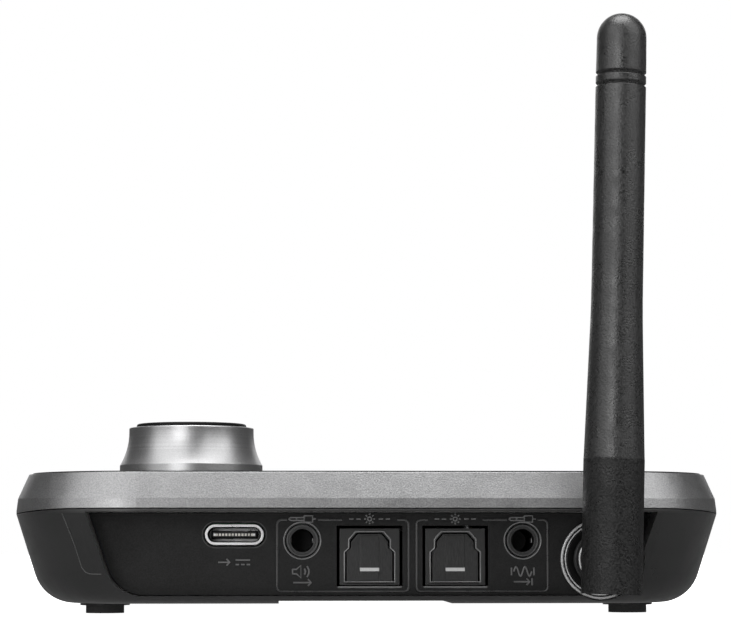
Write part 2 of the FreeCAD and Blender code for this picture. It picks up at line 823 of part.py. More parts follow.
def make_feet_and_screws():
    """Four rubber feet that plug the screw wells, and the case screws above them."""
    feet = []
    screws = []
    for x, y in foot_places():
        pad_solid = cylinder("foot_pad", "foot_radius", "foot_seat_level", (x, y, "0"))
        plug = cylinder("foot_plug", "foot_plug_radius", "foot_plug_top - foot_seat_level",
                        (x, y, "foot_seat_level"))
        feet.append(fuse("foot", [pad_solid, plug]))
        head = cylinder("case_screw_head", "screw_head_radius", "screw_head_height",
                        (x, y, "screw_ledge_level - screw_head_height"))
        drive = cylinder("case_screw_drive", "screw_drive_radius", "screw_drive_depth",
                         (x, y, "screw_ledge_level - screw_head_height"))
        shank = cylinder("case_screw_shank", "screw_shank_radius", "screw_tip_level - screw_ledge_level",
                         (x, y, "screw_ledge_level"))
        screws.append(cut("case_screw", fuse("case_screw_blank", [head, shank]), [drive]))
    node("rubber_feet", group("rubber_feet", feet))
    node("case_screws", group("case_screws", screws))


def make_board():
    """Main board, hung high in the case so that every socket fits under it."""
    plate = box("board_plate", ("-board_half_x", "board_front_y", "board_bottom"),
                ("2 * board_half_x", PANEL_BACK + " - board_gap - board_front_y", "board_thickness"))
    holes = []
    for side in ("-board_half_x - 1", "board_half_x - board_notch_x"):
        for place in ("board_front_y - 1", PANEL_BACK + " - board_gap - board_notch_y"):
            holes.append(box("board_notch", (side, place, "board_bottom - 1"),
                             ("board_notch_x + 1", "board_notch_y + 1", "board_thickness + 2")))
    screws = []
    for x, y in board_post_places():
        holes.append(cylinder("board_hole", "board_screw_radius + screw_play", "board_thickness + 2",
                              (x, y, "board_bottom - 1")))
        head = cylinder("board_screw_head", "board_screw_head_radius", "board_screw_head_height",
                        (x, y, BOARD_TOP))
        shank = cylinder("board_screw_shank", "board_screw_radius", "board_screw_length",
                         (x, y, BOARD_TOP + " - board_screw_length"))
        screws.append(fuse("board_screw", [head, shank]))
    node("main_board", cut("main_board", plate, holes))
    node("board_screws", group("board_screws", screws))


def hung_box(name):
    """Box under the main board, from its line in the table of hung parts."""
    x, y, width, depth, height = map(str, HUNG_PARTS[name])
    return centred_box(name, (x, y, "board_bottom - " + height), (width, depth, height))


def make_board_parts():
    """Chips, radio board and passive parts on the main board."""
    for name in ("processor_chip", "regulator_chip", "power_inductor", "clock_crystal"):
        node(name, hung_box(name))
    node("converter_chips", group("converter_chips",
                                  [hung_box("output_converter"), hung_box("input_converter")]))
    cans = [cylinder("filter_capacitor", "can_radius", "can_height", (x, y, "board_bottom - can_height"))
            for x, y in CAN_PLACES]
    node("filter_capacitors", group("filter_capacitors", cans))
    node("radio_board", centred_box(
        "radio_board", ("radio_x", "radio_y", "board_bottom - radio_thickness"),
        ("radio_width", "radio_length", "radio_thickness")))
    node("radio_shield", centred_box(
        "radio_shield", ("radio_x", "shield_y", "board_bottom - radio_thickness - shield_height"),
        ("shield_width", "shield_length", "shield_height")))


def make_usb_inlet():
    """USB-C receptacle: a drawn oblong shell round a central tongue."""
    back = PANEL + " + usb_proud - usb_length"
    outside = oblong("usb_outside", "usb_width", "usb_height", back, "usb_length")
    inside = oblong("usb_inside", "usb_width - 2 * usb_shell_wall",
                    "usb_height - 2 * usb_shell_wall", back + " + 1", "usb_length")
    node("usb_shell", cut("usb_shell", outside, [inside]))
    tongue_length = "usb_length - 1 - tongue_setback"
    blade = box("tongue_blade", ("usb_x - tongue_width / 2", back + " + 1",
                                 "usb_level - tongue_thickness / 2"),
                ("tongue_width", tongue_length, "tongue_thickness"))
    root = box("tongue_root", ("usb_x - tongue_root_width / 2", back + " + 1",
                               "usb_level - tongue_root_height / 2"),
               ("tongue_root_width", "tongue_root_length", "tongue_root_height"))
    node("usb_tongue", fuse("usb_tongue", [blade, root]))


def make_jack(name, x):
    """3.5 mm socket: a block with a round nozzle, and the contact springs on its flanks."""
    front = PANEL_BACK + " - board_gap"
    base = "jack_level - jack_half_height"
    block = box(name + "_block", (x + " - jack_width / 2", front + " - jack_body_length", base),
                ("jack_width", "jack_body_length", "board_bottom - (%s)" % base))
    nozzle = cylinder(name + "_nozzle", "jack_nozzle_radius",
                      "%s - (%s) + 1" % (JACK_FACE, front), (x, front + " - 1", "jack_level"), "y")
    bore = cylinder(name + "_bore", "jack_bore_radius", "jack_bore_length + 1",
                    (x, JACK_FACE + " - jack_bore_length", "jack_level"), "y")
    node(name, cut(name, fuse(name + "_blank", [block, nozzle]), [bore]))
    springs = []
    for flank in ("- jack_width / 2 - spring_thickness", "+ jack_width / 2"):
        for step in range(2):
            along = "%s - jack_body_length + spring_first + %d * spring_pitch" % (front, step)
            springs.append(box(name + "_spring", ("%s %s" % (x, flank), along, "jack_level - spring_drop"),
                               ("spring_thickness", "spring_width",
                                "board_bottom - jack_level + spring_drop")))
    node(name + "_contacts", group(name + "_contacts", springs))


def make_optical(name, x, module_name):
    """Square optical socket: a housing, its light module, and an inward-swinging door."""
    shell = box(name + "_block", (x + " - optical_width / 2", OPTICAL_FACE + " - optical_depth",
                                  "optical_low"),
                ("optical_width", "optical_depth", "optical_high - optical_low"))
    port = prism(name + "_port", port_outline(x, "0"), OPTICAL_FACE + " + 1",
                 "optical_face_thickness + 1 + slack")
    cavity = box(name + "_cavity", (x + " - cavity_half", OPTICAL_FACE
                                    + " - optical_face_thickness - cavity_depth", "cavity_low"),
                 ("2 * cavity_half", "cavity_depth", "cavity_high - cavity_low"))
    pocket = box(name + "_pocket", (x + " - emitter_half", OPTICAL_FACE + " - optical_depth - 1",
                                    "emitter_low"),
                 ("2 * emitter_half", "emitter_depth + 1", "2 * emitter_half"))
    node(name, cut(name, shell, [port, cavity, pocket]))
    node(module_name, box(module_name, (x + " - emitter_half + slack",
                                        OPTICAL_FACE + " - optical_depth", "emitter_low + slack"),
                          ("2 * emitter_half - 2 * slack", "emitter_depth - slack",
                           "2 * emitter_half - 2 * slack")))
    node(name + "_door", prism(name + "_door", port_outline(x, "door_gap"),
                               OPTICAL_FACE + " - door_setback", "door_thickness"))


def make_swivel():
    """Fixed bezel round the antenna's swivel: a flange on the panel and a barrel through it."""
    def at(offset):
        return ("antenna_x", PANEL + " + (%s)" % offset, "antenna_level")

    flange = cylinder("bezel_flange", "bezel_radius", "bezel_proud", at("0"), "y")
    barrel = cylinder("bezel_barrel", "barrel_radius", "panel_thickness + bezel_floor",
                      at("-panel_thickness"), "y")
    well = cylinder("bezel_well", "bezel_inner_radius", "bezel_proud", at("bezel_floor"), "y")
    hole = cylinder("bezel_hole", "shank_radius + running_gap", "panel_thickness + 3",
                    at("-panel_thickness - 1"), "y")
    node("swivel_bezel", cut("swivel_bezel", fuse("bezel_solid", [flange, barrel]), [well, hole]))


def make_neck():
    """Neck that turns in the bezel: disc, drum, hinge lug, and a waisted shank with its clip."""
    def at(offset):
        return ("0", "-antenna_stand_off + (%s)" % offset, "0")

    floor = "bezel_floor + running_gap"
    disc = cylinder("neck_disc", "disc_radius", "disc_thickness", at(floor), "y")
    drum = cylinder("neck_drum", "neck_radius", "neck_length - (%s)" % floor, at(floor), "y")
    shank = cylinder("neck_shank", "shank_radius", "panel_thickness + shank_tail + neck_length / 2",
                     at("-panel_thickness - shank_tail"), "y")
    groove = cylinder("neck_groove", "shank_radius + 1", "waist_width",
                      at("-panel_thickness - waist_start"), "y")
    core = cylinder("neck_core", "shank_radius - waist_depth", "waist_width + 2 * slack",
                    at("-panel_thickness - waist_start - slack"), "y")
    waist = cut("neck_waist", groove, [core])
    lug = box("neck_lug", ("-lug_half", "-antenna_stand_off + neck_length - lug_root", "-lug_radius"),
              ("2 * lug_half", "antenna_stand_off - neck_length + lug_root", "2 * lug_radius"))
    eye = cylinder("neck_eye", "lug_radius", "2 * lug_half", ("-lug_half", "0", "0"), "x")
    pin_hole = cylinder("neck_pin_hole", "pin_radius + pin_clearance", "4 * lug_half",
                        ("-2 * lug_half", "0", "0"), "x")
    lead_hole = cylinder("neck_lead_hole", "lead_way_radius", "neck_length + 5",
                         at("-panel_thickness - 2"), "y")
    solid = fuse("neck_solid", [disc, drum, shank, lug, eye])
    node("antenna_neck", lean(cut("antenna_neck", solid, [waist, pin_hole, lead_hole])))
    washer = cylinder("retainer_disc", "retainer_radius", "retainer_thickness",
                      at("-panel_thickness - retainer_start"), "y")
    gate = cylinder("retainer_hole", "retainer_bore_radius", "2", at("-panel_thickness - 2"), "y")
    node("swivel_retainer", lean(cut("swivel_retainer", washer, [gate])))


def lean(item):
    """Sets an antenna piece, made upright about its pivot, in its place with its lean."""
    item.Placement = FreeCAD.Placement(Vector(), Rotation(Vector(0, -1, 0), 1))
    for letter, place in zip("xyz", ("antenna_x", ANTENNA_Y, "antenna_level")):
        bind(item, "Placement.Base." + letter, place)
    bind(item, "Placement.Rotation.Angle", "antenna_lean")
    return item


def make_antenna():
    """Folding antenna: forked knuckle, hinge pin, tapered sheath and the element inside."""
    blank = cylinder("knuckle_blank", "knuckle_radius", "knuckle_below + knuckle_above",
                     ("0", "0", "-knuckle_below"))
    slot = box("knuckle_slot", ("-slot_half", "-knuckle_radius - 1", "-knuckle_below - 1"),
               ("2 * slot_half", "knuckle_radius + 1 + slot_back", "knuckle_below + 1 + slot_top"))
    bore = cylinder("knuckle_bore", "sheath_spigot_radius + press_fit", "sheath_spigot_length + 1",
                    ("0", "0", "knuckle_above - sheath_spigot_length"))
    lead_way = cylinder("knuckle_lead_way", "lead_way_radius", "knuckle_above", ("0", "0", "slot_top - 1"))
    pin_hole = cylinder("knuckle_pin_hole", "pin_radius", "2 * pin_half", ("-pin_half", "0", "0"), "x")
    node("antenna_knuckle", lean(cut("antenna_knuckle", blank, [slot, bore, lead_way, pin_hole])))
    node("hinge_pin", lean(put_pin()))
    node("antenna_sheath", lean(make_sheath()))
    rod = cylinder("element_rod", "element_radius", "element_length",
                   ("0", "0", "knuckle_above - sheath_spigot_length + element_start"))
    node("antenna_element", lean(group("antenna_element", [rod])))


def put_pin():
    """Hinge pin, whose ends stop just short of the knuckle's sides."""
    rod = cylinder("pin_rod", "pin_radius", "2 * pin_half", ("-pin_half", "0", "0"), "x")
    return group("hinge_pin", [rod])


def make_sheath():
    """Moulded tube: a spigot in the knuckle, a long taper, two grooves and a domed tip."""
    foot = "knuckle_above"
    corners = [("0", foot + " - sheath_spigot_length"),
               ("sheath_spigot_radius", foot + " - sheath_spigot_length"),
               ("sheath_spigot_radius", foot), ("sheath_base_radius", foot),
               ("sheath_shoulder_radius", "sheath_shoulder_level"),
               ("sheath_radius", "sheath_taper_top")]
    for centre in ("sheath_groove_low", "sheath_groove_high"):
        corners += [("sheath_groove_edge", centre + " - groove_half"),
                    ("sheath_groove_edge - groove_depth", centre),
                    ("sheath_groove_edge", centre + " + groove_half")]
    corners += [("sheath_dome_radius", "sheath_tip - sheath_dome_radius"), ("0", "sheath_tip")]
    solid = turned("sheath_outer", corners, {len(corners) - 2: ("sheath_dome_radius", 1)})
    hollow = cylinder("sheath_hollow", "sheath_bore_radius",
                      "element_start + element_length + element_spare + 1",
                      ("0", "0", foot + " - sheath_spigot_length - 1"))
    return cut("antenna_sheath", solid, [hollow])


def over_dial(level):
    """Point on the dial's axis at a level."""
    return ("knob_x", "knob_y", level)


def make_knob():
    """Turned metal knob with a concave flare, and its black cap."""
    outer = put(turned("knob_form", [
        ("0", "knob_underside"), ("knob_flange_radius - knob_break", "knob_underside"),
        ("knob_flange_radius", "knob_underside + knob_break"), ("knob_flange_radius", "knob_flange_top"),
        ("knob_rim_radius", "knob_rim_low"), ("knob_rim_radius", "knob_top - knob_break"),
        ("knob_rim_radius - knob_break", "knob_top"), ("0", "knob_top")],
        {3: ("knob_flare_radius", -1)}), over_dial("0"))
    dish = cylinder("knob_dish", "knob_pocket_radius", "cap_top - knob_pocket_level",
                    over_dial("knob_pocket_level"))
    hollow = cylinder("knob_hollow", "knob_hollow_radius",
                      "knob_hollow_level - knob_underside + 1", over_dial("knob_underside - 1"))
    bore = cylinder("knob_bore", "shaft_radius", "shaft_top - knob_underside", over_dial("knob_underside"))
    node("knob", cut("knob", outer, [dish, hollow, bore]))
    disc = put(turned("cap_form", [
        ("0", "knob_pocket_level"), ("cap_radius", "knob_pocket_level"),
        ("cap_radius", "cap_top - cap_round"), ("cap_radius - cap_round", "cap_top"), ("0", "cap_top")],
        {2: ("cap_round", 1)}), over_dial("0"))
    node("knob_cap", disc)


def make_encoder():
    """Rotary encoder with a push switch: case and bushing, rotor, shaft, nut and dome."""
    base = BOARD_TOP + " + chamber_wall"
    roof = "encoder_top - chamber_wall"
    case = centred_box("encoder_case", over_dial(BOARD_TOP),
                       ("encoder_side", "encoder_side", "encoder_top - " + BOARD_TOP))
    bushing = cylinder("encoder_bushing", "bushing_radius", "bushing_top - encoder_top + 1",
                       over_dial("encoder_top - 1"))
    chamber = cylinder("encoder_chamber", "rotor_radius + slack", "%s - (%s)" % (roof, base),
                       over_dial(base))
    bore = cylinder("encoder_bore", "shaft_radius + running_gap", "shaft_top - encoder_top",
                    over_dial("encoder_top - 2 * chamber_wall"))
    node("encoder_body", cut("encoder_body", fuse("encoder_solid", [case, bushing]), [chamber, bore]))
    wheel = cylinder("rotor_wheel", "rotor_radius", "rotor_thickness",
                     over_dial(roof + " - slack - rotor_thickness"))
    eye = cylinder("rotor_eye", "shaft_tail_radius + running_gap", "encoder_top - (%s)" % base,
                   over_dial(base))
    node("encoder_rotor", cut("encoder_rotor", wheel, [eye]))
    tail_level = "%s + dome_height + press_travel + slack" % base
    tail = cylinder("shaft_tail", "shaft_tail_radius", "encoder_top - (%s)" % tail_level,
                    over_dial(tail_level))
    stem = cylinder("shaft_stem", "shaft_radius", "shaft_top - encoder_top + slack",
                    over_dial("encoder_top - slack"))
    node("encoder_shaft", fuse("encoder_shaft", [tail, stem]))
    node("press_dome", cone("press_dome", "shaft_tail_radius - slack", "shaft_tail_radius / 2",
                            "dome_height", over_dial(base)))
    blank = cylinder("nut_blank", "nut_flats_radius", "nut_thickness", over_dial("fascia_top"))
    flats = hexagon("nut_flats", "nut_flats_radius", "nut_thickness", over_dial("fascia_top"))
    bore_out = cylinder("nut_bore", "bushing_radius + press_fit", "nut_thickness + 2",
                        over_dial("fascia_top - 1"))
    node("encoder_nut", cut("encoder_nut", common("nut_solid", [blank, flats]), [bore_out]))


def hexagon(name, radius, height, at):
    item = document.addObject("Part::Prism", name)
    item.Polygon = 6
    bind(item, "Circumradius", radius)
    bind(item, "Height", height)
    return put(item, at)


def make_display():
    node("display_module", centred_box(
        "display_module", ("display_x", "display_y", "display_module_top - display_module_thickness"),
        ("display_width - 2 * display_border", "display_depth - 2 * display_border",
         "display_module_thickness")))


def make_keys_and_lights():
    """Two round keys over their switches, and three light pipes over their lamps."""
    switches = []
    for name, x in zip(("power_key", "source_key"), key_places()):
        switch_top = BOARD_TOP + " + switch_height"
        stem_foot = switch_top + " + key_travel + key_play"
        cap = cylinder(name + "_cap", "key_radius", "fascia_top + key_proud - cover_ceiling",
                       (x, "key_y", "cover_ceiling"))
        stem = cylinder(name + "_stem", "key_stem_radius", "cover_ceiling + slack - (%s)" % stem_foot,
                        (x, "key_y", stem_foot))
        node(name, fuse(name, [cap, stem]))
        switches.append(centred_box(name + "_switch", (x, "key_y", BOARD_TOP),
                                    ("switch_side", "switch_side", "switch_height")))
    node("key_switches", group("key_switches", switches))
    pipes = [cylinder("light_pipe", "light_radius", "fascia_top - pipe_foot", (x, "light_y", "pipe_foot"))
             for x in light_places()]
    node("light_pipes", group("light_pipes", pipes))
    lamps = [centred_box("status_lamp", (x, "light_y", BOARD_TOP),
                         ("lamp_length", "lamp_width", "lamp_height"))
             for x in light_places()]
    node("status_lamps", group("status_lamps", lamps))


def make_mode_switch():
    """Slide switch in the right-hand wall."""
    def along_wall(name, start, reach, length, height, middle="mode_y"):
        return box(name, (start, "%s - (%s) / 2" % (middle, length), "mode_level - (%s) / 2" % height),
                   (reach, length, height))

    case = along_wall("mode_case", "mode_case_x", "mode_case_reach", "mode_case_length", "mode_case_height")
    window = along_wall("mode_case_slot", "mode_case_x + mode_case_back", "mode_case_reach",
                        "mode_window_length", "mode_window_height")
    node("mode_switch_case", cut("mode_switch_case", case, [window]))
    set_back = "mode_y - mode_travel / 2"
    cap = along_wall("mode_cap", "mode_cap_start", "mode_knob_reach - mode_cap_start",
                     "mode_knob_length", "mode_knob_height", set_back)
    stalk = along_wall("mode_stalk", "mode_stalk_x", "mode_cap_start + slack - mode_stalk_x",
                       "mode_stalk_length", "mode_stalk_height", set_back)
    node("mode_slider", fuse("mode_slider", [cap, stalk]))


def make_antenna_lead():
    """Coaxial lead from the radio board's plug to the antenna's swivel, and its plug."""
    start = Vector(value("radio_x"), value("plug_y + plug_radius"), value("lead_level"))
    end = Vector(value("antenna_x"), value(PANEL_BACK + " - lead_end_setback"), value("antenna_level"))
    bend = Vector(start.x, value("lead_bend_y"), start.z)
    approach = end + Vector(value("approach_side"), -value("approach_run"), value("approach_rise"))
    spine = Part.Wire(tangent_path([start, bend, approach, end]))
    circle = Part.Wire(Part.Circle(start, Vector(0, 1, 0), value("lead_radius")).toShape())
    lead = document.addObject("Part::Feature", "antenna_lead")
    lead.Shape = spine.makePipeShell([circle], True, False)
    lead.Placement = FreeCAD.Placement()
    node("antenna_lead", lead)
    node("lead_plug", cylinder("lead_plug", "plug_radius", "plug_height",
                               ("radio_x", "plug_y", "lead_level - plug_height / 2")))


def tangent_path(route):
    """Straight runs joined by arcs as large as the shorter of their two runs allows."""
    edges = []
    here = route[0]
    for before, corner, after in zip(route, route[1:], route[2:]):
        way_in = (corner - before).normalize()
        way_out = (after - corner).normalize()
        half_turn = way_in.getAngle(way_out) / 2
        reach = ARC_SHARE * min((corner - before).Length, (after - corner).Length)
        radius = reach / math.tan(half_turn)
        print("bend of %.1f mm radius" % radius)
        start = corner - way_in * reach
        end = corner + way_out * reach
        inward = (way_out - way_in).normalize()
        middle = corner + inward * (radius / math.cos(half_turn) - radius)
        edges.append(Part.LineSegment(here, start).toShape())
        edges.append(Part.Arc(start, middle, end).toShape())
        here = end
    edges.append(Part.LineSegment(here, route[-1]).toShape())
    return edges


def make_everything():
    make_housing()
    make_rear_panel()
    make_cover()
    make_fascia()
    make_feet_and_screws()
    make_board()
    make_board_parts()
    make_usb_inlet()
    make_jack("output_jack", "output_jack_x")
    make_jack("input_jack", "input_jack_x")
    make_optical("output_optical", "output_optical_x", "optical_emitter")
    make_optical("input_optical", "input_optical_x", "optical_receiver")
    make_swivel()
    make_neck()
    make_antenna()
    make_knob()
    make_encoder()
    make_display()
    make_keys_and_lights()
    make_mode_switch()
    make_antenna_lead()


def write_parts():
    """Checks the document, then writes one file for each sub-part."""
    document.recompute()
    for item in document.Objects:
        if "Invalid" in item.State or "Error" in item.State:
            raise RuntimeError("%s did not build: %s" % (item.Label, item.State))
    for name, item in nodes.items():
        if item.Shape.isNull() or not item.Shape.isValid() or not item.Shape.Solids:
            raise RuntimeError("%s is not a valid solid" % name)
    os.makedirs("parts", exist_ok=True)
    for name, item in nodes.items():
        item.Shape.exportStep("parts/%s.step" % name)
        print("%-22s %10.1f mm3 %d solid(s)" % (name, item.Shape.Volume, len(item.Shape.Solids)))


make_everything()
write_parts()
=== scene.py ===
import json
import math

import bmesh
import bpy
from mathutils import Matrix, Vector
from mathutils.bvhtree import BVHTree


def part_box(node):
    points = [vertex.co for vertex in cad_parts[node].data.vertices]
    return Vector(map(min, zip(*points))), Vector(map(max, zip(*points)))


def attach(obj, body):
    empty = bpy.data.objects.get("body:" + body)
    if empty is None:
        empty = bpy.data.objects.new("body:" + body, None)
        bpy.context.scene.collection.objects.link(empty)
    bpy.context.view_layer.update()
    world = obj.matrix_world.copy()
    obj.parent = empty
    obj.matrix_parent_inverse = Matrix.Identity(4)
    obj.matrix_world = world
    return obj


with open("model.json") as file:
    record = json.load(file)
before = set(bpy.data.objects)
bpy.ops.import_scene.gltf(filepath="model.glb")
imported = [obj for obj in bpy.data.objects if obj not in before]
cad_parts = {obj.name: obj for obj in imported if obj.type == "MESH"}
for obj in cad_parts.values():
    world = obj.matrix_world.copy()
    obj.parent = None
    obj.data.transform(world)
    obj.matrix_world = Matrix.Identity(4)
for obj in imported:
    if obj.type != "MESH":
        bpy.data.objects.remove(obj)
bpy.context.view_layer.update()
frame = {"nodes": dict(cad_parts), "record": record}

# Looks of a bluetooth audio receiver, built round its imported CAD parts.
# Lengths are in metres unless a name or a comment says millimetres (mm).

MM = 0.001
nodes = frame["nodes"]
record = frame["record"]
mounts = {mount["name"]: Vector(mount["pos_m"]) for mount in record["mounts"]}
slots = {part["node"]: part["material_slot"] for part in record["subparts"]}
panel_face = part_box("rear_panel")[1].y


# ---------------------------------------------------------------- materials

class Graph:
    """One material's node tree, from its place in millimetres to its surface shader."""

    def __init__(self, name):
        self.material = bpy.data.materials.new(name)
        self.material.use_nodes = True
        self.tree = self.material.node_tree
        self.tree.nodes.clear()
        self.shader = self.node("ShaderNodeBsdfPrincipled")
        self.node("ShaderNodeOutputMaterial", inputs={"Surface": self.shader.outputs["BSDF"]})
        metres = self.node("ShaderNodeTexCoord").outputs["Object"]
        scaled = self.node("ShaderNodeVectorMath", {"operation": "SCALE"},
                           {"Vector": metres, "Scale": 1 / MM})
        self.place = scaled.outputs["Vector"]

    def node(self, kind, settings=None, inputs=None):
        made = self.tree.nodes.new(kind)
        for name, setting in (settings or {}).items():
            setattr(made, name, setting)
        for name, source in (inputs or {}).items():
            self.feed(made.inputs[name], source)
        return made

    def feed(self, socket, source):
        """Links an output to a socket, or sets the socket's own value."""
        if isinstance(source, bpy.types.NodeSocket):
            self.tree.links.new(source, socket)
        else:
            socket.default_value = source

    def set(self, **values):
        """Values of the surface shader's own sockets, with _ for a space in their names."""
        for name, source in values.items():
            self.feed(self.shader.inputs[name.replace("_", " ")], source)

    def calc(self, operation, *sources):
        made = self.node("ShaderNodeMath", {"operation": operation})
        for socket, source in zip(made.inputs, sources):
            self.feed(socket, source)
        return made.outputs[0]

    def stretched(self, stretch):
        """The place with each axis scaled, so that a pattern grows shorter along it."""
        made = self.node("ShaderNodeVectorMath", {"operation": "MULTIPLY"}, {0: self.place, 1: stretch})
        return made.outputs["Vector"]

    def noise(self, size, detail=2.0, stretch=None):
        """Noise from 0 to 1, with features of about this size in mm."""
        place = self.stretched(stretch) if stretch else self.place
        made = self.node("ShaderNodeTexNoise", inputs={
            "Vector": place, "Scale": 1 / size, "Detail": detail, "Roughness": 0.55})
        return made.outputs[0]

    def remap(self, source, low, high, out_low=0.0, out_high=1.0):
        made = self.node("ShaderNodeMapRange", inputs={
            "Value": source, "From Min": low, "From Max": high, "To Min": out_low, "To Max": out_high})
        return made.outputs[0]

    def mix(self, share, first, second):
        made = self.node("ShaderNodeMix", {"data_type": "RGBA"})
        colours = [socket for socket in made.inputs if socket.type == "RGBA"]
        self.feed(made.inputs[0], share)
        self.feed(colours[0], first)
        self.feed(colours[1], second)
        return [socket for socket in made.outputs if socket.type == "RGBA"][0]

    def shade(self, colour, factor):
        """The colour multiplied by a grey factor."""
        grey = self.node("ShaderNodeCombineColor", inputs={"Red": factor, "Green": factor, "Blue": factor})
        made = self.node("ShaderNodeMix", {"data_type": "RGBA", "blend_type": "MULTIPLY"})
        colours = [socket for socket in made.inputs if socket.type == "RGBA"]
        made.inputs[0].default_value = 1.0
        self.feed(colours[0], colour)
        self.feed(colours[1], grey.outputs[0])
        return [socket for socket in made.outputs if socket.type == "RGBA"][0]

    def rounded(self, radius):
        """Normal that turns smoothly over each edge within this radius in mm."""
        return self.node("ShaderNodeBevel", {"samples": 6}, {"Radius": radius * MM}).outputs[0]

    def edges(self, radius, gain):
        """0 on open surfaces, rising to 1 along edges, within this radius in mm."""
        plain = self.node("ShaderNodeNewGeometry").outputs["Normal"]
        product = self.node("ShaderNodeVectorMath", {"operation": "DOT_PRODUCT"},
                            {0: self.rounded(radius), 1: plain})
        turned = self.calc("SUBTRACT", 1.0, product.outputs["Value"])
        raised = self.calc("MULTIPLY", turned, gain)
        return self.node("ShaderNodeClamp", inputs={"Value": raised}).outputs[0]

    def bump(self, height, depth, normal=None):
        """Normal of a relief this many mm deep, over another normal."""
        inputs = {"Height": height, "Strength": 1.0, "Distance": depth * MM}
        if normal is not None:
            inputs["Normal"] = normal
        return self.node("ShaderNodeBump", inputs=inputs).outputs[0]


def grey(level, blue=0.0):
    return (level, level, level * (1 + blue), 1.0)


def surface(name, colour, rough, metallic=0.0, patch=9.0, patchy=0.10, speck=0.10, grain=0.12,
            depth=0.006, ripple=0.003, spread=0.06, lift=0.5, edge=0.12, stretch=None, **own):
    """Moulded, painted or drawn surface: mottled colour, edges lighter as rubbed wear and as a painted
    highlight, grain and slow ripple.
    """
    graph = Graph(name)
    slow = graph.noise(patch, 3.0)
    fine = graph.noise(grain, 3.0, stretch)
    # Edge mask, blotched by noise: it lightens the colour along edges as rubbed wear and as a painted
    # highlight, and smooths them a little.
    wear_and_highlight = graph.calc("MULTIPLY", graph.edges(edge, 6.0), graph.remap(graph.noise(2.3, 4.0), 0.3, 0.7))
    level = graph.calc("ADD", graph.remap(slow, 0.3, 0.7, 1 - patchy, 1 + patchy),
                       graph.remap(fine, 0.3, 0.7, -speck, speck))
    level = graph.calc("MULTIPLY_ADD", wear_and_highlight, lift, level)
    graph.set(Base_Color=graph.shade(colour, level), Metallic=metallic)
    smears = graph.remap(graph.noise(patch / 3, 4.0), 0.3, 0.7, rough - spread, rough + spread)
    roughness = graph.calc("ADD", smears, graph.remap(fine, 0.3, 0.7, -spread / 2, spread / 2))
    graph.set(Roughness=graph.calc("MULTIPLY_ADD", wear_and_highlight, -0.08, roughness))
    normal = graph.bump(graph.noise(4.0, 1.0), ripple, graph.rounded(edge))
    graph.set(Normal=graph.bump(fine, depth, normal))
    graph.set(**own)
    return graph.material


def turned_metal(name, colour, rough, centre):
    """Metal turned on a lathe about an upright axis: fine grooves round it, and slow tool marks."""
    graph = Graph(name)
    offset = graph.node("ShaderNodeVectorMath", {"operation": "SUBTRACT"}, {0: graph.place, 1: centre / MM})
    parts = graph.node("ShaderNodeSeparateXYZ", inputs={"Vector": offset.outputs["Vector"]})
    across = graph.calc("SQRT", graph.calc(
        "ADD", graph.calc("POWER", parts.outputs["X"], 2.0), graph.calc("POWER", parts.outputs["Y"], 2.0)))
    along = graph.calc("ADD", graph.calc("MULTIPLY", across, 1.7), parts.outputs["Z"])
    rings = []
    for frequency in (16.0, 3.2):
        made = graph.node("ShaderNodeTexNoise", {"noise_dimensions": "1D"}, {
            "W": graph.calc("MULTIPLY", along, frequency), "Scale": 1.0, "Detail": 3.0})
        rings.append(made.outputs[0])
    fine = graph.noise(0.18, 2.0)
    level = graph.calc("ADD", graph.remap(rings[0], 0.3, 0.7, 0.96, 1.04),
                       graph.remap(fine, 0.3, 0.7, -0.10, 0.10))
    level = graph.calc("ADD", level, graph.remap(rings[1], 0.3, 0.7, -0.05, 0.05))
    # Edges painted lighter: wear on the metal and a painted highlight.
    level = graph.calc("MULTIPLY_ADD", graph.edges(0.15, 6.0), 0.35, level)
    graph.set(Base_Color=graph.shade(colour, level), Metallic=1.0)
    graph.set(Roughness=graph.calc("ADD", graph.remap(rings[0], 0.3, 0.7, rough - 0.05, rough + 0.05),
                                   graph.remap(fine, 0.3, 0.7, -0.04, 0.04)))
    normal = graph.bump(rings[0], 0.0015, graph.rounded(0.15))
    graph.set(Normal=graph.bump(fine, 0.012, normal))
    return graph.material


def board_material():
    """Green solder mask over copper tracks, with tinned vias."""
    graph = Graph("board_mask")
    tracks = graph.node("ShaderNodeTexBrick", {"offset": 0.37, "squash": 0.6}, {
        "Vector": graph.place, "Scale": 0.55, "Mortar Size": 0.045, "Mortar Smooth": 0.3})
    cells = graph.node("ShaderNodeTexVoronoi", {"feature": "DISTANCE_TO_EDGE"},
                       {"Vector": graph.place, "Scale": 0.28})
    pours = graph.remap(cells.outputs["Distance"], 0.05, 0.09)
    copper = graph.calc("MAXIMUM", graph.calc("MULTIPLY", tracks.outputs["Fac"], 0.7), pours)
    dots = graph.node("ShaderNodeTexVoronoi", inputs={"Vector": graph.place, "Scale": 0.45})
    vias = graph.remap(dots.outputs["Distance"], 0.16, 0.13)
    mask = graph.mix(copper, (0.006, 0.05, 0.022, 1), (0.012, 0.10, 0.045, 1))
    mottled = graph.shade(mask, graph.remap(graph.noise(6.0, 3.0), 0.3, 0.7, 0.8, 1.2))
    graph.set(Base_Color=graph.mix(vias, mottled, (0.55, 0.53, 0.48, 1)), Metallic=vias)
    graph.set(Roughness=graph.remap(graph.noise(0.8, 3.0), 0.3, 0.7, 0.28, 0.42), Coat_Weight=0.3)
    graph.set(Normal=graph.bump(copper, 0.03, graph.rounded(0.1)))
    return graph.material


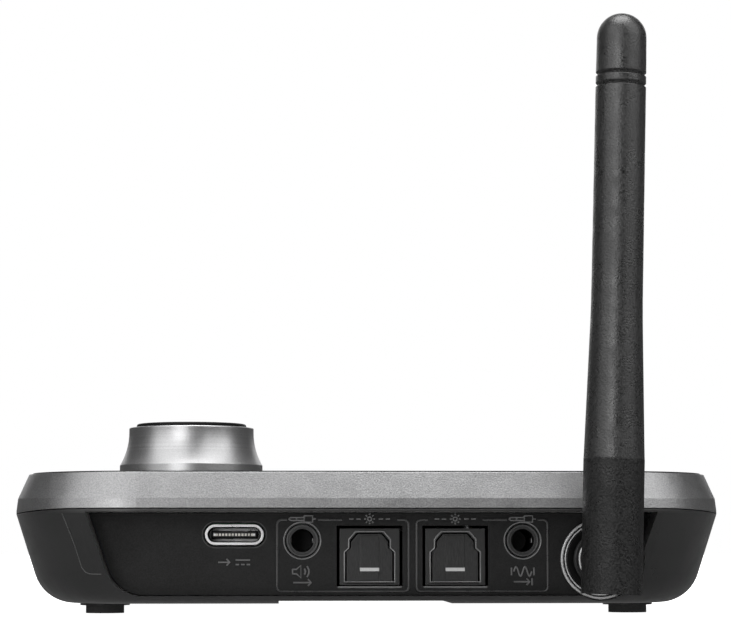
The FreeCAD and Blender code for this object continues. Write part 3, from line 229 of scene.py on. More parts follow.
def glass_material(name, colour, rough, see_through):
    """Clear or smoked moulded glass with faint smears and dust."""
    graph = Graph(name)
    smear = graph.noise(5.0, 4.0, (1.0, 0.35, 1.0))
    dust = graph.noise(0.25, 2.0)
    graph.set(Base_Color=graph.shade(colour, graph.remap(dust, 0.3, 0.7, 0.95, 1.05)))
    graph.set(Roughness=graph.calc("ADD", graph.remap(smear, 0.4, 0.7, rough, rough + 0.07),
                                   graph.remap(dust, 0.66, 0.75, 0.0, 0.15)))
    graph.set(Transmission_Weight=see_through, IOR=1.49)
    graph.set(Normal=graph.bump(graph.noise(3.0, 1.0), 0.002, graph.rounded(0.12)))
    return graph.material


def display_material():
    """Unlit display: near-black cells in a fine grid, with a faint sheen."""
    graph = Graph("display_cells")
    cells = graph.node("ShaderNodeTexBrick", {"offset": 0.0}, {
        "Vector": graph.place, "Scale": 3.0, "Mortar Size": 0.06, "Mortar Smooth": 0.2,
        "Brick Width": 0.5, "Row Height": 0.5})
    colour = graph.mix(cells.outputs["Fac"], (0.012, 0.013, 0.018, 1), (0.003, 0.003, 0.004, 1))
    graph.set(Base_Color=graph.shade(colour, graph.remap(graph.noise(7.0, 2.0), 0.3, 0.7, 0.8, 1.2)))
    graph.set(Roughness=graph.remap(graph.noise(2.0, 3.0), 0.3, 0.7, 0.12, 0.2), Coat_Weight=0.5)
    graph.set(Normal=graph.rounded(0.1))
    return graph.material


def make_materials():
    """One material for each of the record's slots."""
    knob_low, knob_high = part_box("knob")
    knob_centre = Vector(((knob_low.x + knob_high.x) / 2, (knob_low.y + knob_high.y) / 2, knob_low.z))
    made = {
        "housing_black": surface("housing_black", grey(0.013), 0.35, depth=0.005, grain=0.2, ripple=0.004,
                                 lift=0.7, edge=0.2, Specular_IOR_Level=0.5, Sheen_Weight=0.06,
                                 Sheen_Roughness=0.4),
        "panel_black": surface("panel_black", grey(0.010), 0.5, grain=0.22, depth=0.02, speck=0.35,
                               lift=1.0, Specular_IOR_Level=0.22),
        "cover_grey": surface("cover_grey", grey(0.32, 0.01), 0.36, 0.95, grain=0.22, depth=0.032,
                              speck=0.2, patchy=0.03, spread=0.05, lift=0.25, edge=0.18),
        "fascia_dark": surface("fascia_dark", grey(0.014), 0.34, depth=0.003, lift=0.6, patchy=0.05,
                               spread=0.03, Specular_IOR_Level=0.28),
        "window_clear": glass_material("window_clear", grey(0.25, 0.05), 0.03, 0.9),
        "foot_rubber": surface("foot_rubber", grey(0.016), 0.72, grain=0.2, depth=0.02, speck=0.2,
                               lift=0.4),
        "screw_steel": surface("screw_steel", grey(0.5), 0.3, 1.0, speck=0.08, stretch=(1, 6, 1)),
        "board_green": board_material(),
        "shield_tin": surface("shield_tin", grey(0.6), 0.26, 1.0, speck=0.05, ripple=0.01),
        "chip_black": surface("chip_black", grey(0.02), 0.5, grain=0.08, depth=0.008, speck=0.25),
        "inductor_grey": surface("inductor_grey", grey(0.07), 0.62, grain=0.15, depth=0.02, speck=0.3),
        "capacitor_can": surface("capacitor_can", grey(0.6, 0.02), 0.25, 1.0, stretch=(6, 6, 1)),
        "usb_steel": surface("usb_steel", grey(0.9), 0.3, 0.85, grain=0.12, depth=0.001, speck=0.05,
                             spread=0.04, lift=0.1, edge=0.08),
        "tongue_black": surface("tongue_black", grey(0.022), 0.42, lift=0.6),
        "jack_black": surface("jack_black", grey(0.02), 0.34, lift=1.2, edge=0.14),
        "contact_gold": surface("contact_gold", (0.72, 0.52, 0.25, 1), 0.22, 1.0, speck=0.06, edge=0.05),
        "optical_black": surface("optical_black", grey(0.016), 0.4, grain=0.12, depth=0.006, lift=1.2),
        "module_dark": surface("module_dark", grey(0.03), 0.4),
        "door_black": surface("door_black", grey(0.015), 0.38, grain=0.3, depth=0.03, speck=0.4, lift=0.8,
                              stretch=(2.2, 1, 0.4)),
        "bezel_black": surface("bezel_black", grey(0.008), 0.34, depth=0.003, lift=1.2, edge=0.18),
        "neck_black": surface("neck_black", grey(0.016), 0.34, depth=0.004, lift=1.0, edge=0.18),
        "clip_steel": surface("clip_steel", grey(0.5), 0.28, 1.0),
        "knuckle_black": surface("knuckle_black", grey(0.008), 0.4, grain=0.3, depth=0.12, speck=0.9,
                                 spread=0.2, lift=1.0, edge=0.2, Specular_IOR_Level=0.32),
        "sheath_black": surface("sheath_black", grey(0.012), 0.33, grain=0.3, depth=0.06, speck=0.7,
                                spread=0.12, lift=0.8, edge=0.15, Specular_IOR_Level=0.75),
        "element_brass": surface("element_brass", (0.6, 0.44, 0.2, 1), 0.3, 1.0, stretch=(4, 4, 0.5)),
        "knob_metal": turned_metal("knob_metal", grey(0.5, 0.01), 0.36, knob_centre),
        "cap_black": surface("cap_black", grey(0.004), 0.5, depth=0.004, lift=0.6, edge=0.15,
                             Specular_IOR_Level=0.15),
        "encoder_metal": turned_metal("encoder_metal", grey(0.5), 0.28, knob_centre),
        "rotor_nylon": surface("rotor_nylon", (0.62, 0.6, 0.52, 1), 0.45, patchy=0.05,
                               Subsurface_Weight=0.2, Subsurface_Scale=0.5 * MM),
        "nut_steel": surface("nut_steel", grey(0.5), 0.3, 1.0),
        "display_dark": display_material(),
        "key_black": surface("key_black", grey(0.018), 0.3, depth=0.003, lift=1.0, edge=0.2),
        "pipe_clear": glass_material("pipe_clear", grey(0.8), 0.25, 0.6),
        "lamp_white": surface("lamp_white", (0.8, 0.78, 0.68, 1), 0.4, patchy=0.03),
        "switch_metal": surface("switch_metal", grey(0.5), 0.3, 1.0, stretch=(1, 5, 1)),
        "slider_black": surface("slider_black", grey(0.018), 0.42, lift=1.0, edge=0.2),
        "lead_grey": surface("lead_grey", grey(0.1), 0.5, grain=0.1, depth=0.01),
    }
    # Raised lines in a lighter grey than the faces they stand on: a painted highlight along the moulded
    # lines; on the display's border it is print.
    made["relief"] = surface("relief_black", grey(0.042), 0.3, depth=0.004, lift=1.0, edge=0.1)
    # Moulded pictograms in a lighter grey than the black panel: a painted highlight.
    made["symbol"] = surface("symbol_grey", grey(0.09), 0.35, depth=0.004, lift=0.8, edge=0.06)
    # Rims and ledges in a lighter grey than the black plastic they belong to: a painted highlight along
    # them.
    made["rim"] = surface("rim_highlight_grey", grey(0.16), 0.22, 0.3, depth=0.003, lift=0.8, edge=0.1)
    made["bright_rim"] = surface("bright_rim_grey", grey(0.42), 0.25, 0.3, depth=0.003, lift=0.8, edge=0.1)
    made["mark"] = surface("mark_grey", grey(0.34), 0.5, patchy=0.05, lift=0.1)
    made["dim_spring"] = surface("dim_spring", grey(0.3), 0.3, 1.0, edge=0.06)
    # Near-black sheet laid inside the jacks' bores, the USB shell and the swivel's well: painted shade.
    made["painted_shade_black"] = surface("painted_shade_black", grey(0.0025), 0.75, lift=0.2, Specular_IOR_Level=0.1)
    made["pale_contact"] = surface("pale_contact", (0.8, 0.78, 0.72, 1), 0.3, 1.0, speck=0.06, edge=0.04)
    return made


def dress_nodes(materials):
    """Gives each CAD node the material of its slot."""
    for name, item in nodes.items():
        item.data.materials.clear()
        item.data.materials.append(materials[slots[name]])


# ------------------------------------------------------------------- pieces

def finish_piece(name, mesh, body, slot, material=None, smooth=True):
    """Links a finished mesh as a piece that rides on a body and takes a slot's finish."""
    for polygon in mesh.polygons:
        polygon.use_smooth = smooth
    item = bpy.data.objects.new(name, mesh)
    bpy.context.scene.collection.objects.link(item)
    mesh.materials.append(material or materials[slot])
    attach(item, body)
    return item


def arc(centre, radius, start, end, steps=10):
    """Points of an arc, with its angles in degrees."""
    angles = [math.radians(start + (end - start) * step / steps) for step in range(steps + 1)]
    return [(centre[0] + radius * math.cos(angle), centre[1] + radius * math.sin(angle))
            for angle in angles]


REARWARD = (Vector((-1, 0, 0)), Vector((0, 0, 1)), Vector((0, 1, 0)))
UPWARD = (Vector((1, 0, 0)), Vector((0, 1, 0)), Vector((0, 0, 1)))


def raised_lines(name, strokes, origin, width, proud, body, slot, closed=False, material=None,
                 facing=REARWARD):
    """Rounded raised lines on a face that looks to the rear or up.

    A stroke's points are in mm: to the right and up as one looks at the face and, if given, out of it.
    """
    right_way, up_way, out_way = facing
    curve = bpy.data.curves.new(name, "CURVE")
    curve.dimensions = "3D"
    curve.bevel_depth = width / 2 * MM
    curve.bevel_resolution = 3
    curve.use_fill_caps = True
    for stroke in strokes:
        spline = curve.splines.new("POLY")
        spline.points.add(len(stroke) - 1)
        spline.use_cyclic_u = closed
        for point, (right, up, *out) in zip(spline.points, stroke):
            level = proud - width / 2 + sum(out)
            place = origin + (right_way * right + up_way * up + out_way * level) * MM
            point.co = (*place, 1)
    holder = bpy.data.objects.new(name + "_line", curve)
    bpy.context.scene.collection.objects.link(holder)
    bpy.context.view_layer.update()
    mesh = bpy.data.meshes.new_from_object(holder.evaluated_get(bpy.context.evaluated_depsgraph_get()))
    bpy.data.objects.remove(holder)
    mesh.name = name
    mesh.materials.clear()
    return finish_piece(name, mesh, body, slot, material)


def bars(name, boxes, rounding, body, slot, material=None):
    """Small bevelled blocks, each from its lowest to its highest corner, joined in one piece."""
    shape = bmesh.new()
    for low, high in boxes:
        made = bmesh.ops.create_cube(shape, size=1.0)
        size = Matrix.Diagonal((*(high - low), 1))
        bmesh.ops.transform(shape, matrix=Matrix.Translation((low + high) / 2) @ size, verts=made["verts"])
    bmesh.ops.bevel(shape, geom=shape.edges[:], offset=rounding * MM, segments=2, affect="EDGES",
                    profile=0.5)
    mesh = bpy.data.meshes.new(name)
    shape.to_mesh(mesh)
    shape.free()
    return finish_piece(name, mesh, body, slot, material, smooth=False)


def lathe(name, profile, centre, axis, body, slot, material=None, steps=96):
    """Closed ring: a profile of (radius, along) points in mm, turned about an axis through a centre."""
    shape = bmesh.new()
    turn = Vector((0, 0, 1)).rotation_difference(Vector(axis)).to_matrix().to_4x4()
    rings = []
    for step in range(steps):
        angle = 2 * math.pi * step / steps
        way_x, way_y = math.cos(angle), math.sin(angle)
        rings.append([shape.verts.new((radius * way_x * MM, radius * way_y * MM, along * MM))
                      for radius, along in profile])
    for step in range(steps):
        first, second = rings[step], rings[(step + 1) % steps]
        for index in range(len(profile)):
            following = (index + 1) % len(profile)
            shape.faces.new((first[index], second[index], second[following], first[following]))
    bmesh.ops.transform(shape, matrix=Matrix.Translation(centre) @ turn, verts=shape.verts[:])
    bmesh.ops.recalc_face_normals(shape, faces=shape.faces[:])
    mesh = bpy.data.meshes.new(name)
    shape.to_mesh(mesh)
    shape.free()
    return finish_piece(name, mesh, body, slot, material)


# Outline brackets round each jack and optical pair, in mm from the pair's own sockets.
BRACKET_TOP = 3.2
BRACKET_BOTTOM = 7.9
BRACKET_ROUNDING = 0.7
BRACKET_JACK_SIDE = 3.9
BRACKET_OPTICAL_SIDE = 6.05
JACK_BREAK = 2.4
OPTICAL_BREAK = 4.3
BRACKET_WIDTH = 0.34
BRACKET_PROUD = 0.17


def make_bracket(side):
    """Thin raised outline round one jack and its optical socket, open above each of them."""
    jack = mounts[side + "_jack_bore"]
    optical = mounts[side + "_optical_port"]
    facing = 1 if jack.x > optical.x else -1
    across = (jack.x - optical.x) * facing / MM
    left, right = -BRACKET_JACK_SIDE, across + BRACKET_OPTICAL_SIDE
    top, bottom, turn = BRACKET_TOP, -BRACKET_BOTTOM, BRACKET_ROUNDING
    lower = [(-JACK_BREAK, top)] + arc((left + turn, top - turn), turn, 90, 180)
    lower += arc((left + turn, bottom + turn), turn, 180, 270)
    lower += arc((right - turn, bottom + turn), turn, 270, 360)
    lower += arc((right - turn, top - turn), turn, 0, 90) + [(across + OPTICAL_BREAK, top)]
    middle = [(JACK_BREAK, top), (across - OPTICAL_BREAK, top)]
    strokes = [[(right_of * facing, up) for right_of, up in stroke] for stroke in (lower, middle)]
    raised_lines(side + "_bracket", strokes, Vector((jack.x, panel_face, jack.z)), BRACKET_WIDTH,
                 BRACKET_PROUD, "case", "panel_black", material=materials["relief"])


def arrow(start, end, head=0.55):
    """Shaft and two barbs of an arrow along the horizontal."""
    back = end[0] - math.copysign(head, end[0] - start[0])
    return [[start, end], [(back, end[1] + head), end, (back, end[1] - head)]]


def plug_symbol():
    """Jack plug lying on its side: tip, sleeve and body."""
    tip, neck, shoulder, butt, cable = -2.1, -1.8, 0.3, 1.6, 2.1
    ring = -0.9
    thin, thick = 0.22, 0.5
    upper = [(tip, 0.0), (neck, thin), (-1.5, thin), (shoulder, thin)]
    lower = [(tip, 0.0), (neck, -thin), (shoulder, -thin)]
    body = [(shoulder, thick), (butt, thick), (butt, -thick), (shoulder, -thick), (shoulder, thick)]
    return [upper, lower, [(ring, thin), (ring, -thin)], body, [(butt, 0.0), (cable, 0.0)]]


def light_symbol():
    """Lamp with rays, between two dashed beams."""
    lamp_radius, ray_start, ray_end = 0.3, 0.55, 0.85
    dash_starts, dash_length = (1.4, 2.5), 0.7
    rays = []
    for index in range(8):
        angle = math.radians(45 * index)
        rays.append([(reach * math.cos(angle), reach * math.sin(angle)) for reach in (ray_start, ray_end)])
    dashes = [[(side * start, 0.0), (side * (start + dash_length), 0.0)]
              for side in (-1, 1) for start in dash_starts]
    return [arc((0, 0), lamp_radius, 0, 360, 14)] + rays + dashes


def power_symbol():
    """Direct current: a line over three dashes, with an arrow towards it."""
    first, last, level = 0.2, 2.45, 0.35
    pitch, length = 0.85, 0.55
    dashes = [[(first + pitch * index, -level), (first + length + pitch * index, -level)]
              for index in range(3)]
    return arrow((-2.5, 0.0), (-0.7, 0.0), 0.5) + [[(first, level), (last, level)]] + dashes


def speaker_symbol():
    """Loudspeaker with two sound waves."""
    back, throat, mouth = -1.5, -0.9, -0.2
    narrow, wide = 0.35, 0.95
    cone = [(back, narrow), (throat, narrow), (mouth, wide), (mouth, -wide), (throat, -narrow),
            (back, -narrow), (back, narrow)]
    return [cone, arc((mouth, 0), 0.7, -40, 40, 6), arc((mouth, 0), 1.25, -42, 42, 8)]


def wave_symbol():
    """A sound wave's line, between two end marks."""
    half_length, swing, steps = 1.4, 0.75, 24
    mark, mark_half = 1.75, 0.6
    wave = [(-half_length + 2 * half_length * step / steps, swing * math.sin(4 * math.pi * step / steps))
            for step in range(steps + 1)]
    return [wave, [(-mark, mark_half), (-mark, -mark_half)], [(mark, mark_half), (mark, -mark_half)]]


def moved(strokes, right, up):
    return [[(x + right, y + up) for x, y in stroke] for stroke in strokes]


SYMBOL_WIDTH = 0.26
SYMBOL_PROUD = 0.13
LABEL_UP = 3.35
LABEL_DOWN = -4.8
USB_LABEL_DOWN = -4.25
ARROW_BARB = 0.5


def make_panel_symbols():
    """Pictograms moulded into the rear panel beside each socket, painted lighter as a highlight."""
    def put_symbols(name, strokes, x, z):
        raised_lines(name, strokes, Vector((x, panel_face, z)), SYMBOL_WIDTH, SYMBOL_PROUD, "case",
                     "panel_black", material=materials["symbol"])

    usb = mounts["usb_inlet"]
    put_symbols("power_symbol", moved(power_symbol(), 0, USB_LABEL_DOWN), usb.x, usb.z)
    way_out = moved(arrow((-1.4, 0.0), (1.4, 0.0), ARROW_BARB), 0, -1.7)
    way_in = moved(arrow((-1.4, 0.0), (1.1, 0.0), ARROW_BARB), 0, -1.6) + [[(1.45, -1.05), (1.45, -2.15)]]
    below = {"output": speaker_symbol() + way_out, "input": wave_symbol() + way_in}
    for side in ("output", "input"):
        jack = mounts[side + "_jack_bore"]
        optical = mounts[side + "_optical_port"]
        strokes = moved(plug_symbol(), 0, LABEL_UP) + moved(below[side], 0, LABEL_DOWN)
        put_symbols(side + "_jack_symbols", strokes, jack.x, jack.z)
        put_symbols(side + "_optical_symbol", moved(light_symbol(), 0, LABEL_UP), optical.x, jack.z)


def make_usb_contacts():
    """Plated contact pads along the USB-C tongue, showing at its tip, and a steel guard at each side."""
    low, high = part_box("usb_tongue")
    middle = (low + high) / 2
    pitch = 0.5 * MM
    count = 12
    half_width = 0.17 * MM
    half_height = 0.2 * MM
    length = 4.0 * MM
    guard_reach = 3.05 * MM
    rounding = 0.03

    def pad(x, proud):
        return (Vector((x - half_width, high.y - length, middle.z - half_height)),
                Vector((x + half_width, high.y + proud * MM, middle.z + half_height)))

    pads = [pad(middle.x + (index - (count - 1) / 2) * pitch, 0.08) for index in range(count)]
    bars("usb_contacts", pads, rounding, "case", "contact_gold", materials["pale_contact"])
    for side, sign in (("right", -1), ("left", 1)):
        guard = pad(middle.x + sign * guard_reach, 0.1)
        bars("usb_guard_" + side, [guard], rounding, "case", "usb_steel")


def oblong_loop(half_length, radius, steps=16):
    """Points of a flat-sided oval in mm, longer across than up."""
    reach = half_length - radius
    return arc((reach, 0), radius, -90, 90, steps) + arc((-reach, 0), radius, 90, 270, steps)


def tube(name, loops, centre, body, slot, material=None):
    """Closed ring through loops of equal length; each is (points in mm, place along Y in mm)."""
    shape = bmesh.new()
    rings = [[shape.verts.new(centre + Vector((x, along, z)) * MM) for x, z in points]
             for points, along in loops]
    count = len(rings[0])
    for first, second in zip(rings, rings[1:] + rings[:1]):
        for index in range(count):
            following = (index + 1) % count
            shape.faces.new((first[index], first[following], second[following], second[index]))
    bmesh.ops.recalc_face_normals(shape, faces=shape.faces[:])
    mesh = bpy.data.meshes.new(name)
    shape.to_mesh(mesh)
    shape.free()
    return finish_piece(name, mesh, body, slot, material)


def make_usb_shade_sleeve():
    """Near-black sleeve inside the USB-C shell as painted shade, and the moulded lip of the opening round
    it.
    """
    low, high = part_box("usb_shell")
    centre = Vector(((low.x + high.x) / 2, high.y, (low.z + high.z) / 2))
    half_length, half_height = (high.x - low.x) / 2 / MM, (high.z - low.z) / 2 / MM
    outer, inner = -0.42, -0.56
    mouth, shoulder, end = -0.35, -0.5, -5.5

    def loops(steps):
        return [(oblong_loop(half_length + out, half_height + out), along) for out, along in steps]

    # Near-black sleeve inside the shell: painted shade.
    shade_sleeve = [(outer, mouth), (inner, shoulder), (inner, end), (outer, end)]
    tube("usb_shade_sleeve", loops(shade_sleeve), centre, "case", "tongue_black", materials["painted_shade_black"])
    centre.y = panel_face
    lip = [(0.22, -0.6), (0.22, -0.35), (0.44, 0.03), (0.49, 0.03), (0.49, -0.02), (0.44, -0.6)]
    tube("usb_opening_lip", loops(lip), centre, "case", "panel_black", materials["relief"])


def bead(radius, half_width, height, root=-0.3):
    """Profile of a half-round bead about a radius, with its root sunk into the face below."""
    crown = []
    for angle in range(180, -1, -20):
        turn = math.radians(angle)
        crown.append((radius + half_width * math.cos(turn), height * math.sin(turn)))
    return crown + [(radius + half_width, root), (radius - half_width, root)]


def make_jack_details(side):
    """Rounded lip on the jack's nozzle, a ring round it painted lighter as a highlight, a near-black sleeve
    in its bore as painted shade, and two contact springs.
    """
    mouth = mounts[side + "_jack_bore"].copy()
    mouth.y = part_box(side + "_jack")[1].y
    lathe(side + "_jack_lip", bead(2.33, 0.15, 0.13), mouth, (0, 1, 0), "case", "jack_black",
          materials["relief"])
    around = mouth.copy()
    around.y = panel_face
    # Ring round the nozzle, in a lighter grey than the panel: a painted highlight.
    skin = [(2.58, -0.34), (2.83, 0.01), (2.95, 0.04), (2.95, -0.05), (2.64, -0.42)]
    lathe(side + "_jack_ring", skin, around, (0, 1, 0), "case", "panel_black", materials["rim"])
    # Near-black sleeve in the bore: painted shade.
    wall, shade_sleeve_end = 1.79, -12.0
    shade_sleeve = [(wall, -0.25), (wall - 0.04, -0.35), (wall - 0.04, shade_sleeve_end), (wall, shade_sleeve_end)]
    lathe(side + "_jack_shade_sleeve", shade_sleeve, mouth, (0, 1, 0), "case", "jack_black", materials["painted_shade_black"])
    spring_reach, spring_half_height = 1.72 * MM, 0.4 * MM
    half_thickness = 0.12 * MM
    spring_front, spring_back = 2.8 * MM, 5.2 * MM
    springs = []
    for sign in (-1, 1):
        x = mouth.x + sign * spring_reach
        springs.append((Vector((x - half_thickness, mouth.y - spring_back, mouth.z - spring_half_height)),
                        Vector((x + half_thickness, mouth.y - spring_front, mouth.z + spring_half_height))))
    bars(side + "_jack_springs", springs, 0.08, "case", "contact_gold", materials["dim_spring"])


FACE_SLACK = 0.05 * MM


def port_half_outline(name):
    """Half widths and levels of an optical port, read off its door, in mm from the door's middle."""
    item = nodes[name]
    low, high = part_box(name)
    middle = (low.x + high.x) / 2
    corners = {(round((vertex.co.x - middle) / MM, 3), round(vertex.co.z / MM, 3)): True
               for vertex in item.data.vertices
               if vertex.co.x > middle and high.y - vertex.co.y < FACE_SLACK}
    return sorted(corners, key=lambda corner: corner[1])


def make_optical_details(side):
    """Rounded rim of the optical port and ledge of its opening, both painted lighter as highlights, and the
    door's rib and pale mark.
    """
    door = side + "_optical_door"
    low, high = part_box(door)
    middle = (low.x + high.x) / 2
    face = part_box(side + "_optical")[1].y
    gap = 0.38
    half = [(across + gap, up + (gap if index > 2 else 0))
            for index, (across, up) in enumerate(port_half_outline(door))]
    stroke = [(across, up) for across, up in half] + [(-across, up) for across, up in reversed(half)]
    # Rim and ledge in a lighter grey: painted highlights.
    raised_lines(side + "_port_rim", [stroke], Vector((middle, face, 0)), 0.26, 0.13, "case",
                 "optical_black", closed=True, material=materials["rim"])
    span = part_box(side + "_optical")
    reach = (span[1].x - span[0].x) / 2 / MM + 0.3
    ledge_level = span[0].z / MM - 0.32
    ledge = [[(-reach, ledge_level), (reach, ledge_level)]]
    raised_lines(side + "_opening_ledge", ledge, Vector((middle, panel_face, 0)), 0.34, 0.1, "case",
                 "panel_black", material=materials["rim"])
    body = side + "_door"
    half_width, root = 1.5 * MM, 0.1 * MM
    rib_proud, mark_proud = 0.05 * MM, 0.09 * MM
    rib = (Vector((middle - half_width, high.y - root, low.z + 0.2 * MM)),
           Vector((middle + half_width, high.y + rib_proud, high.z - 0.25 * MM)))
    bars(side + "_door_rib", [rib], 0.04, body, "door_black")
    mark_level, mark_height = low.z + 1.65 * MM, 0.55 * MM
    mark = (Vector((middle - half_width, high.y - root, mark_level)),
            Vector((middle + half_width, high.y + mark_proud, mark_level + mark_height)))
    bars(side + "_door_mark", [mark], 0.03, body, "door_black", materials["mark"])


def make_swivel_rims():
    """Rounded rims of the antenna's swivel, on the flange, in its well and on the neck, painted lighter as
    highlights, and a near-black ring of painted shade in the well.
    """
    low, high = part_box("swivel_bezel")
    centre = Vector(((low.x + high.x) / 2, high.y, (low.z + high.z) / 2))
    radius = (high.x - low.x) / 2 / MM
    outer_rim, inner_rim = bead(radius - 0.2, 0.2, 0.16), bead(radius - 0.74, 0.11, 0.09)
    # The rims in a light grey: painted highlights.
    for name, rim in (("swivel_outer_rim", outer_rim), ("swivel_inner_rim", inner_rim)):
        lathe(name, rim, centre, (0, 1, 0), "case", "bezel_black", materials["bright_rim"])
    drum_radius, disc_front = 3.9 * MM, 0.85 * MM
    neck = [vertex.co for vertex in nodes["antenna_neck"].data.vertices]
    drum = [place for place in neck
            if abs(math.hypot(place.x - centre.x, place.z - centre.z) - drum_radius) < 2 * FACE_SLACK]
    front = centre.copy()
    front.y = max(place.y for place in drum)
    lathe("neck_rim", bead(3.72, 0.16, 0.13), front, (0, 1, 0), "antenna_base", "neck_black",
          materials["bright_rim"])
    seat = centre.copy()
    seat.y = panel_face + disc_front
    # Near-black ring round the neck, in the well: painted shade.
    shade_ring = [(4.3, 0.12), (5.15, 0.12), (5.2, 0.08), (5.2, -0.05), (4.25, -0.05), (4.25, 0.08)]
    lathe("swivel_shade_ring", shade_ring, seat, (0, 1, 0), "antenna_base", "neck_black", materials["painted_shade_black"])


def on_face(name, points):
    """Points (x, z in mm) dropped onto a node's rear-facing surface."""
    item = nodes[name]
    tree = BVHTree.FromPolygons([vertex.co for vertex in item.data.vertices],
                                [polygon.vertices for polygon in item.data.polygons])
    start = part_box(name)[1].y + 10 * MM
    return [tree.ray_cast(Vector((x * MM, start, z * MM)), Vector((0, -1, 0)))[0] for x, z in points]


def make_witness_line():
    """Fine moulding line on the housing, beside the rear recess."""
    corners = [(47.5, 15.6), (46.3, 12.6), (45.4, 10.2), (44.5, 7.3), (43.9, 6.6), (43.2, 6.35),
               (41.4, 6.3)]
    points = on_face("lower_housing", corners)
    strokes = [[(-point.x / MM, point.z / MM, point.y / MM) for point in points if point]]
    raised_lines("witness_line", strokes, Vector((0, 0, 0)), 0.16, 0.1, "case", "housing_black",
                 material=materials["relief"])


def make_key_symbols():
    """Pictograms on the two round keys: stand-by, and a change of direction."""
    stand_by = [arc((0, 0), 1.3, 125, 415, 18), [(0.0, 0.5), (0.0, 1.6)]]
    left, right, apart = (-1.3, 0.0), (1.3, 0.0), 0.55
    change = moved(arrow(left, right), 0, apart) + moved(arrow(right, left), 0, -apart)
    keys = (("power_key", "power_button", stand_by), ("source_key", "source_button", change))
    for name, body, strokes in keys:
        low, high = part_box(name)
        top = Vector(((low.x + high.x) / 2, (low.y + high.y) / 2, high.z))
        raised_lines(name + "_symbol", strokes, top, 0.3, 0.06, body, "key_black",
                     material=materials["mark"], facing=UPWARD)


def make_display_frame():
    """Narrow printed border under the edge of the display's window, raised a hair."""
    low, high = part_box("display_window")
    inset = 0.6
    right, up = (high.x - low.x) / 2 / MM - inset, (high.y - low.y) / 2 / MM - inset
    middle = Vector(((low.x + high.x) / 2, (low.y + high.y) / 2, high.z))
    turn = 0.8
    border = []
    for quarter, (side, end) in enumerate(((1, 1), (-1, 1), (-1, -1), (1, -1))):
        corner = (side * (right - turn), end * (up - turn))
        border += arc(corner, turn, 90 * quarter, 90 * (quarter + 1), 6)
    raised_lines("display_border", [border], middle, 0.22, 0.03, "case", "fascia_dark", closed=True,
                 material=materials["relief"], facing=UPWARD)


def make_rear_details():
    for side in ("output", "input"):
        make_bracket(side)
        make_jack_details(side)
        make_optical_details(side)
    make_panel_symbols()
    make_usb_contacts()
    make_usb_shade_sleeve()
    make_swivel_rims()
    make_witness_line()


# -------------------------------------------------------------------- stage

def make_floor():
    """Plain pale floor, wider than any view of it."""
    shape = bmesh.new()
    bmesh.ops.create_circle(shape, cap_ends=True, segments=96, radius=6.0)
    mesh = bpy.data.meshes.new("floor")
    shape.to_mesh(mesh)
    shape.free()
    floor = bpy.data.objects.new("floor", mesh)
    bpy.context.scene.collection.objects.link(floor)
    graph = Graph("floor_pale")
    graph.set(Base_Color=graph.shade(grey(0.86), graph.remap(graph.noise(60.0, 3.0), 0.3, 0.7, 0.985, 1.0)),
              Roughness=0.9, Specular_IOR_Level=0.0, Emission_Color=grey(1.0), Emission_Strength=1.0)
    mesh.materials.append(graph.material)
    floor.visible_glossy = False


def make_world():
    """White backdrop for the eye, and a dimmer, even light for the surfaces."""
    world = bpy.data.worlds.new("studio")
    bpy.context.scene.world = world
    world.use_nodes = True
    tree = world.node_tree
    tree.nodes.clear()
    output = tree.nodes.new("ShaderNodeOutputWorld")
    mixer = tree.nodes.new("ShaderNodeMixShader")
    path = tree.nodes.new("ShaderNodeLightPath")
    for index, level in ((1, 0.10), (2, 1.0)):
        background = tree.nodes.new("ShaderNodeBackground")
        background.inputs["Color"].default_value = (1, 1, 1, 1)
        background.inputs["Strength"].default_value = level
        tree.links.new(background.outputs[0], mixer.inputs[index])
    tree.links.new(path.outputs["Is Camera Ray"], mixer.inputs[0])
    tree.links.new(mixer.outputs[0], output.inputs[0])


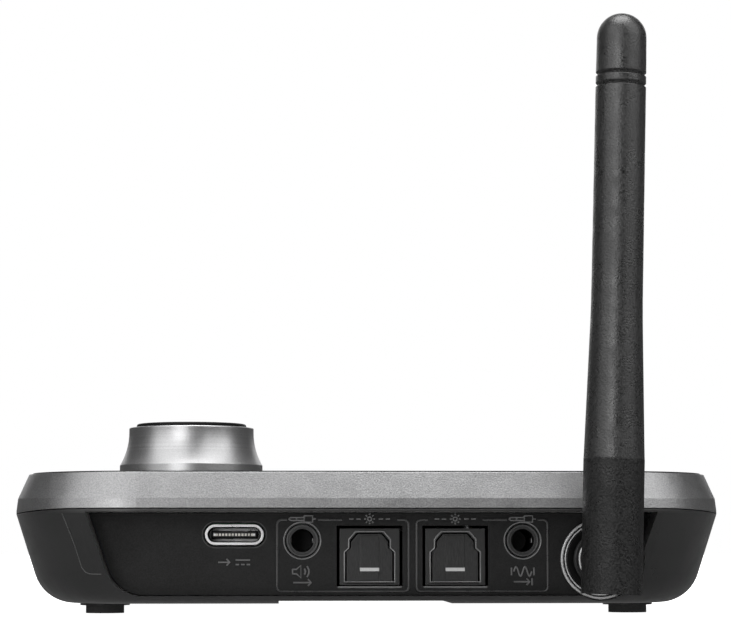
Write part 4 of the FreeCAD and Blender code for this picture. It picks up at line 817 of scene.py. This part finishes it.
def softbox(name, turn, rise, distance, width, height, radiance):
    """Rectangular light aimed at the object, from a turn off the rear towards +X and a rise in degrees."""
    light = bpy.data.lights.new(name, "AREA")
    light.shape = "RECTANGLE"
    light.size, light.size_y = width, height
    light.energy = radiance * math.pi * width * height
    item = bpy.data.objects.new(name, light)
    bpy.context.scene.collection.objects.link(item)
    turn, rise = math.radians(turn), math.radians(rise)
    way = Vector((math.sin(turn) * math.cos(rise), math.cos(turn) * math.cos(rise), math.sin(rise)))
    item.location = LIT_POINT + way * distance
    item.rotation_euler = (-way).to_track_quat("-Z", "Y").to_euler()


LIT_POINT = Vector((0.0, 0.0, 0.03))


def make_lights():
    softbox("rear_left", 43, 31, 1.2, 1.4, 1.3, 1.4)
    softbox("rear_right", -52, 36, 1.2, 1.15, 1.15, 1.65)
    softbox("rear_low", 19, 7, 1.3, 0.55, 0.5, 2.7)
    softbox("front", 180, 24, 1.3, 1.5, 0.8, 1.0)
    softbox("top", 0, 90, 1.2, 1.0, 1.0, 0.8)
    sun = bpy.data.lights.new("overhead", "SUN")
    sun.energy = 2.2
    sun.angle = math.radians(50)
    item = bpy.data.objects.new("overhead", sun)
    bpy.context.scene.collection.objects.link(item)


# The camera stands low behind the object and looks slightly up and to one side.
CAMERA_PLACE = Vector((16.07, 421.2, 9.84)) * MM
CAMERA_YAW = math.radians(-2.314)
CAMERA_PITCH = math.radians(5.641)
CAMERA_ROLL = math.radians(-0.031)
CAMERA_LENS = 119.1


def make_camera():
    camera = bpy.data.cameras.new("camera")
    camera.lens = CAMERA_LENS
    camera.sensor_width = 36.0
    camera.clip_start = 0.01
    camera.clip_end = 50.0
    item = bpy.data.objects.new("camera", camera)
    bpy.context.scene.collection.objects.link(item)
    level = math.cos(CAMERA_PITCH)
    ahead = Vector((math.sin(CAMERA_YAW) * level, -math.cos(CAMERA_YAW) * level, math.sin(CAMERA_PITCH)))
    right = Vector((-math.cos(CAMERA_YAW), -math.sin(CAMERA_YAW), 0))
    up = right.cross(ahead)
    right, up = (right * math.cos(CAMERA_ROLL) + up * math.sin(CAMERA_ROLL),
                 up * math.cos(CAMERA_ROLL) - right * math.sin(CAMERA_ROLL))
    turn = Matrix((right, up, -ahead)).transposed()
    item.matrix_world = Matrix.Translation(CAMERA_PLACE) @ turn.to_4x4()
    bpy.context.scene.camera = item


materials = make_materials()
dress_nodes(materials)
make_rear_details()
make_key_symbols()
make_display_frame()
make_floor()
make_world()
make_lights()
make_camera()
bpy.context.scene.view_settings.view_transform = "Standard"

bpy.context.view_layer.update()
